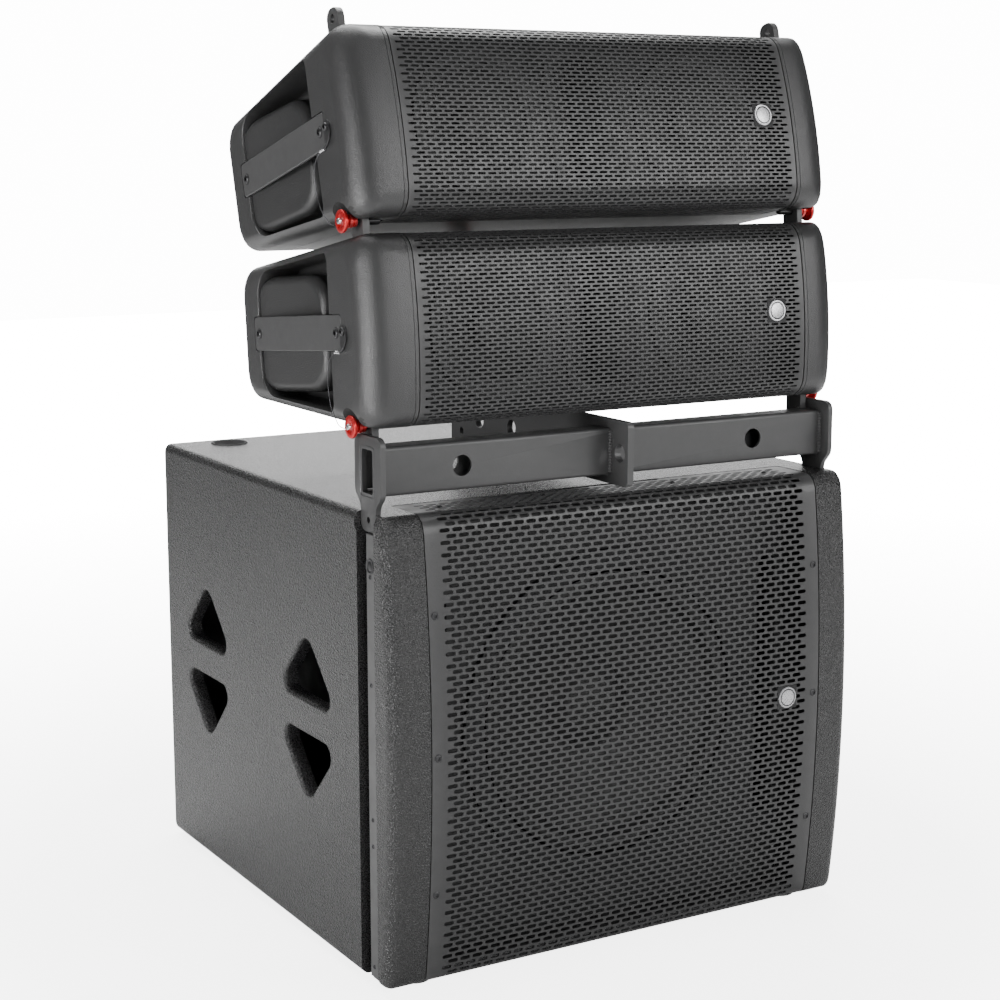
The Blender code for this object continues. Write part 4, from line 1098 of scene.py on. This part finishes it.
def build_front_pin(box, side, word):
    """Release pin: shaft, collar, waisted neck, grip disc and its button."""
    bm = bmesh.new()
    profile = [(0.2930, 0.0040), (0.2930, 0.0060), (0.2934, 0.0066), (0.2975, 0.0066), (0.2982, 0.0060),
               (0.2986, 0.0074), (0.3018, 0.0074), (0.3024, 0.0068), (0.3028, 0.0052), (0.3046, 0.0050),
               (0.3056, 0.0056), (0.3062, 0.0085), (DISC_INNER, 0.0115),
               (DISC_INNER + 0.0006, 0.0122), (DISC_INNER + 0.0012, DISC_RADIUS),
               (DISC_OUTER - 0.0012, DISC_RADIUS), (DISC_OUTER - 0.0004, 0.0121), (DISC_OUTER, 0.0114),
               (DISC_OUTER, 0.0062), (DISC_OUTER - 0.0006, 0.0052),
               (DISC_OUTER - 0.0008, BUTTON_RADIUS + GAP), (0.3016, BUTTON_RADIUS + GAP)]
    turn(bm, mirrored(profile, side), sides=48)
    body = f"{box}_pin_{word}"
    piece(f"{body}_grip", bm, RED, body, box, [body])
    bm = bmesh.new()
    profile = [(0.2650, 0.0030), (0.2662, 0.0044), (0.2676, SHAFT_RADIUS), (0.2928, SHAFT_RADIUS)]
    turn(bm, mirrored(profile, side))
    piece(f"{body}_shaft", bm, OXIDE, body, box)
    bm = bmesh.new()
    profile = [(0.3045, BUTTON_RADIUS), (BUTTON_TIP - 0.0012, BUTTON_RADIUS), (BUTTON_TIP - 0.0004, 0.0030),
               (BUTTON_TIP - 0.0001, 0.0022), (BUTTON_TIP, 0.0008)]
    turn(bm, mirrored(profile, side), sides=28)
    button = f"{box}_pin_button_{word}"
    piece(f"{button}_plunger", bm, PLATED, button, box, [button])


def build_lanyard(box, side, word):
    """Steel cord from the clip at the handle's front end down and round to the pin's disc."""
    def beside(route):
        """Points given by their height above the box's side, y and z."""
        return [(side * (BOX_HALF_WIDTH + lift), y, z) for lift, y, z in route]

    body = f"{box}_box"
    crimp_y, crimp_z = HANDLE_FRONT + 0.015, BOX_MID - HANDLE_HALF - 0.0015
    hook = DISC_INNER - 0.0006 - BOX_HALF_WIDTH
    points = beside([(0.0020, crimp_y - 0.010, crimp_z), (0.0022, crimp_y, crimp_z - 0.0008),
                     (0.0034, crimp_y + 0.012, crimp_z - 0.012), (0.0040, crimp_y + 0.015, crimp_z - 0.034),
                     (0.0044, crimp_y + 0.010, crimp_z - 0.056), (0.0040, 0.0215, 0.008),
                     (0.0020, 0.0155, 0.000), (hook, 0.0095, -0.0035), (hook, 0.0055, -0.0045)])
    points = [box_frame(box) @ Vector(p) for p in points]
    bm = bmesh.new()
    tube(bm, smooth_curve(points), 0.0005, 8)
    cord = object_of(f"{box}_lanyard_{word}", bm)
    cord.data.materials.append(CORD)
    shade(cord.data, 60)
    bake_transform(cord)

    bm = bmesh.new()
    front = HANDLE_FRONT
    tab = rounded([(front + 0.002, BOX_MID - 0.0185, 0.003), (front + 0.002, BOX_MID + 0.008, 0.003),
                   (front - 0.013, BOX_MID + 0.009, 0.007), (front - 0.015, BOX_MID - 0.006, 0.008)])
    plate(bm, tab, *(side * (BOX_HALF_WIDTH + lift) for lift in (-0.0006, 0.0010)), 0.0004)
    loop = beside([(0.0012, front - 0.013, BOX_MID + 0.002), (0.0020, front - 0.0135, BOX_MID - 0.008),
                   (0.0022, front - 0.007, BOX_MID - 0.0165), (0.0020, front + 0.004, BOX_MID - 0.0200)])
    tube(bm, smooth_curve(loop), 0.0013, 10)
    piece(f"{box}_clip_{word}", bm, OXIDE, body, box)

    bm = bmesh.new()
    ends = beside([(0.0020, front + 0.002, BOX_MID - 0.0205), (0.0020, front + 0.0135, BOX_MID - 0.0205)])
    curve = [Vector(ends[0]).lerp(Vector(ends[1]), index / 12) for index in range(13)]
    tube(bm, curve, lambda index: 0.0019 if index % 4 else 0.0014, 14)
    piece(f"{box}_crimp_{word}", bm, PLATED, body, box)


def build_box_fastenings(box):
    """Screws and washers of the handles, bracket and panel, and the panel's sockets."""
    body = f"{box}_box"
    screws, washers, sockets = bmesh.new(), bmesh.new(), bmesh.new()
    for side in (-1, 1):
        face = side * HANDLE_OUTER
        for y in (HANDLE_FRONT + 0.0115, HANDLE_BACK - 0.0125):
            screw(screws, (face, y, BOX_MID), "X", 0.0052, 0.0022, side)
            washer = [(face - side * 0.0005, 0.0064), (face + side * 0.0002, 0.0064)]
            turn(washers, washer, (y, BOX_MID), sides=28)
        clip = (face + side * 0.0012, HANDLE_FRONT - 0.0055, BOX_MID + 0.0015)
        screw(screws, clip, "X", 0.0046, 0.0024, side)
    for x in (-0.017, 0.017):
        for z in (BOX_MID - 0.031, BOX_MID + 0.031):
            screw(screws, (x, BOX_BACK + 0.0043, z), "Y", 0.0036, 0.0022, 1)
    low, high = local_limits(f"{box}_input_panel", box)
    for x in (low.x + 0.005, high.x - 0.005):
        for z in (low.z + 0.005, high.z - 0.005):
            screw(screws, (x, high.y, z), "Y", 0.0021, 0.0011, 1)
    for share in (0.3, 0.7):
        connector(sockets, (low.x + (high.x - low.x) * share, high.y, (low.z + high.z) / 2))
    piece(f"{box}_screws", screws, OXIDE, body, box)
    piece(f"{box}_washers", washers, LINING_AND_POCKET_SHADE, body, box)
    piece(f"{box}_sockets", sockets, OXIDE, body, box)


def build_box(box):
    build_box_shell(box)
    build_box_grille(box)
    build_box_fastenings(box)
    body = f"{box}_box"
    for side, word in SIDES:
        bm = bmesh.new()
        bar = rectangle(HANDLE_FRONT, HANDLE_BACK, BOX_MID - HANDLE_HALF, BOX_MID + HANDLE_HALF, 0.0045)
        plate(bm, bar, side * HANDLE_INNER, side * HANDLE_OUTER, 0.0007)
        node = f"{box}_handle_{word}"
        piece(f"{box}_handle_bar_{word}", bm, COAT, body, box, [node])
        refined(f"{box}_link_{word}", f"{box}_link_plate_{word}", body, 0.0009)
        build_front_pin(box, side, word)
        build_lanyard(box, side, word)
    refined(f"{box}_rear_bracket", f"{box}_bracket", body, 0.0008)
    refined(f"{box}_rear_link", f"{box}_slotted_link", f"{box}_rear_link", 0.0007)
    refined(f"{box}_input_panel", f"{box}_socket_panel", body, 0.0005)
    build_rear_pin(box)
    front = BOX_FRONT + 0.0006
    build_badge(f"{box}_badge", body, (BOX_GRILLE_HALF - 0.041, front, BOX_MID), 0.0135, box)


def build_rear_pin(box):
    node = f"{box}_rear_pin"
    low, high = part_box(node)
    centre = ((low.y + high.y) / 2, (low.z + high.z) / 2)
    radius = (high.z - low.z) / 2
    bm = bmesh.new()
    profile = [(low.x, 0.0030), (low.x + 0.0014, SHAFT_RADIUS), (0.0108, SHAFT_RADIUS), (0.0112, 0.0062),
               (0.0140, 0.0062), (0.0146, 0.0050), (0.0166, 0.0050), (0.0174, radius * 0.92),
               (0.0182, radius), (high.x - 0.0012, radius), (high.x, radius * 0.92), (high.x, 0.0040),
               (high.x + 0.0012, 0.0034), (high.x + 0.0016, 0.0020)]
    turn(bm, profile, centre, "X", 48)
    piece(f"{box}_rear_pin_grip", bm, RED, node, stands_for=[node])


def repaint():
    """Finishes of the CAD nodes that stay in view behind the grilles."""
    for name, node in NODES.items():
        if node.hide_render:
            continue
        finish = CAST
        if "cone" in name or "waveguide" in name:
            finish = CONE
        if "baffle" in name or "hand_cup" in name:
            finish = LINING_AND_POCKET_SHADE
        if "_woofer_left" in name or "_woofer_right" in name:
            finish = CONE
        node.data.materials.clear()
        node.data.materials.append(finish)


# ---------------------------------------------------------------- studio

FLOOR_REACH, FLOOR_GLOW, BACKDROP = 8, 4.5, 18
GLOW_REACH = (0.6, 3.2)           # distances over which the floor's glow rises to the backdrop's
WORLD_LIGHT = (0.2, 3.4)          # from the front, and from behind
LIT_POINT = Vector((0, 0, 0.55))
SOFTBOXES = (                     # name, place, size, watts
    ("top_softbox", (0.1, 0.6, 2.9), (2.6, 2.0), 150),
    ("rear_wall", (2.2, 3.7, 1.5), (3.4, 2.2), 60),
    ("left_softbox", (-3.3, -0.45, 0.55), (0.5, 0.9), 80),
    ("right_softbox", (2.0, -3.2, 1.7), (1.3, 1.8), 78),
    ("front_fill", (-0.6, -4.2, 1.9), (1.6, 1.6), 80))
CAMERA_LENS, CAMERA_DOWN, CAMERA_AROUND = 72.3, 10.2, 30.59
CAMERA_OFFSET = Vector((-0.932, -1.867, 0.908))    # from the cabinet's lower front left corner


def softbox(name, place, size, power):
    """Area lamp turned towards the middle of the stack, and hidden from the camera."""
    light = bpy.data.lights.new(name, "AREA")
    light.shape = "RECTANGLE"
    light.size, light.size_y = size
    light.energy = power
    lamp = bpy.data.objects.new(name, light)
    bpy.context.scene.collection.objects.link(lamp)
    lamp.visible_camera = False
    lamp.location = place
    lamp.rotation_euler = (LIT_POINT - Vector(place)).to_track_quat("-Z", "Y").to_euler()


def glowing(material, near, far):
    """Add light seen by the camera alone, so that paper far from the lamps stays pale."""
    tree = material.node_tree
    seen = add_node(tree, "LightPath").outputs["Is Camera Ray"]
    where = add_node(tree, "TexCoord").outputs["Object"]
    away = add_node(tree, "VectorMath", {0: where}, operation="LENGTH").outputs["Value"]
    level = ranged(tree, away, *GLOW_REACH, near, far)
    strength = add_node(tree, "Math", {0: seen, 1: level}, operation="MULTIPLY").outputs[0]
    glow = add_node(tree, "Emission", {"Strength": strength}).outputs[0]
    both = add_node(tree, "AddShader", {0: tree.nodes["Principled BSDF"].outputs[0], 1: glow})
    tree.links.new(both.outputs[0], tree.nodes["Material Output"].inputs["Surface"])
    return material


def build_world():
    """Light that comes mostly from behind, and a white backdrop that only the camera sees."""
    world = bpy.data.worlds.new("studio")
    bpy.context.scene.world = world
    world.use_nodes = True
    tree = world.node_tree
    light = tree.nodes["Background"]
    where = add_node(tree, "TexCoord").outputs["Generated"]
    behind = add_node(tree, "SeparateXYZ", {0: where}).outputs["Y"]
    tree.links.new(ranged(tree, behind, 0.25, 0.9, *WORLD_LIGHT), light.inputs["Strength"])
    backdrop = add_node(tree, "Background", {"Strength": BACKDROP}).outputs[0]
    seen = add_node(tree, "LightPath").outputs["Is Camera Ray"]
    pick = add_node(tree, "MixShader", {0: seen, 1: light.outputs[0], 2: backdrop})
    tree.links.new(pick.outputs[0], tree.nodes["World Output"].inputs["Surface"])


def build_studio():
    build_world()
    bm = bmesh.new()
    corners = ((-1, -1), (1, -1), (1, 1), (-1, 1))
    bm.faces.new([bm.verts.new((FLOOR_REACH * x, FLOOR_REACH * y, 0)) for x, y in corners])
    floor = object_of("studio_floor", bm)
    paper = Finish("studio_paper", (0.90, 0.90, 0.90), 0.75)
    paper.bump(paper.noise(40, 3), 0.0004, 0.3)
    floor.data.materials.append(glowing(paper.done(), FLOOR_GLOW, BACKDROP))
    for name, place, size, power in SOFTBOXES:
        softbox(name, place, size, power)


def build_camera():
    """Three-quarter view from the front left, a little above the boxes."""
    corner = Vector((-SUB_HALF_WIDTH, JOINT_Y, SUB_LOW.z))
    data = bpy.data.cameras.new("camera")
    data.sensor_width = 36
    data.lens = CAMERA_LENS
    data.clip_end = 60
    camera = bpy.data.objects.new("camera", data)
    bpy.context.scene.collection.objects.link(camera)
    camera.location = corner + CAMERA_OFFSET
    camera.rotation_euler = (math.radians(90 - CAMERA_DOWN), 0, -math.radians(CAMERA_AROUND))
    bpy.context.scene.camera = camera


build_cabinet()
build_sub_grille()
build_cup_inserts()
build_strips()
build_grille_screws()
build_feet()
build_amplifier()
build_badge("sub_badge", "base", (SUB_GRILLE_HALF - 0.047, -SUB_HALF_DEPTH + 0.0006, SUB_MID), 0.0140)
build_frame()
build_box("lower")
build_box("upper")
repaint()
build_studio()
build_camera()
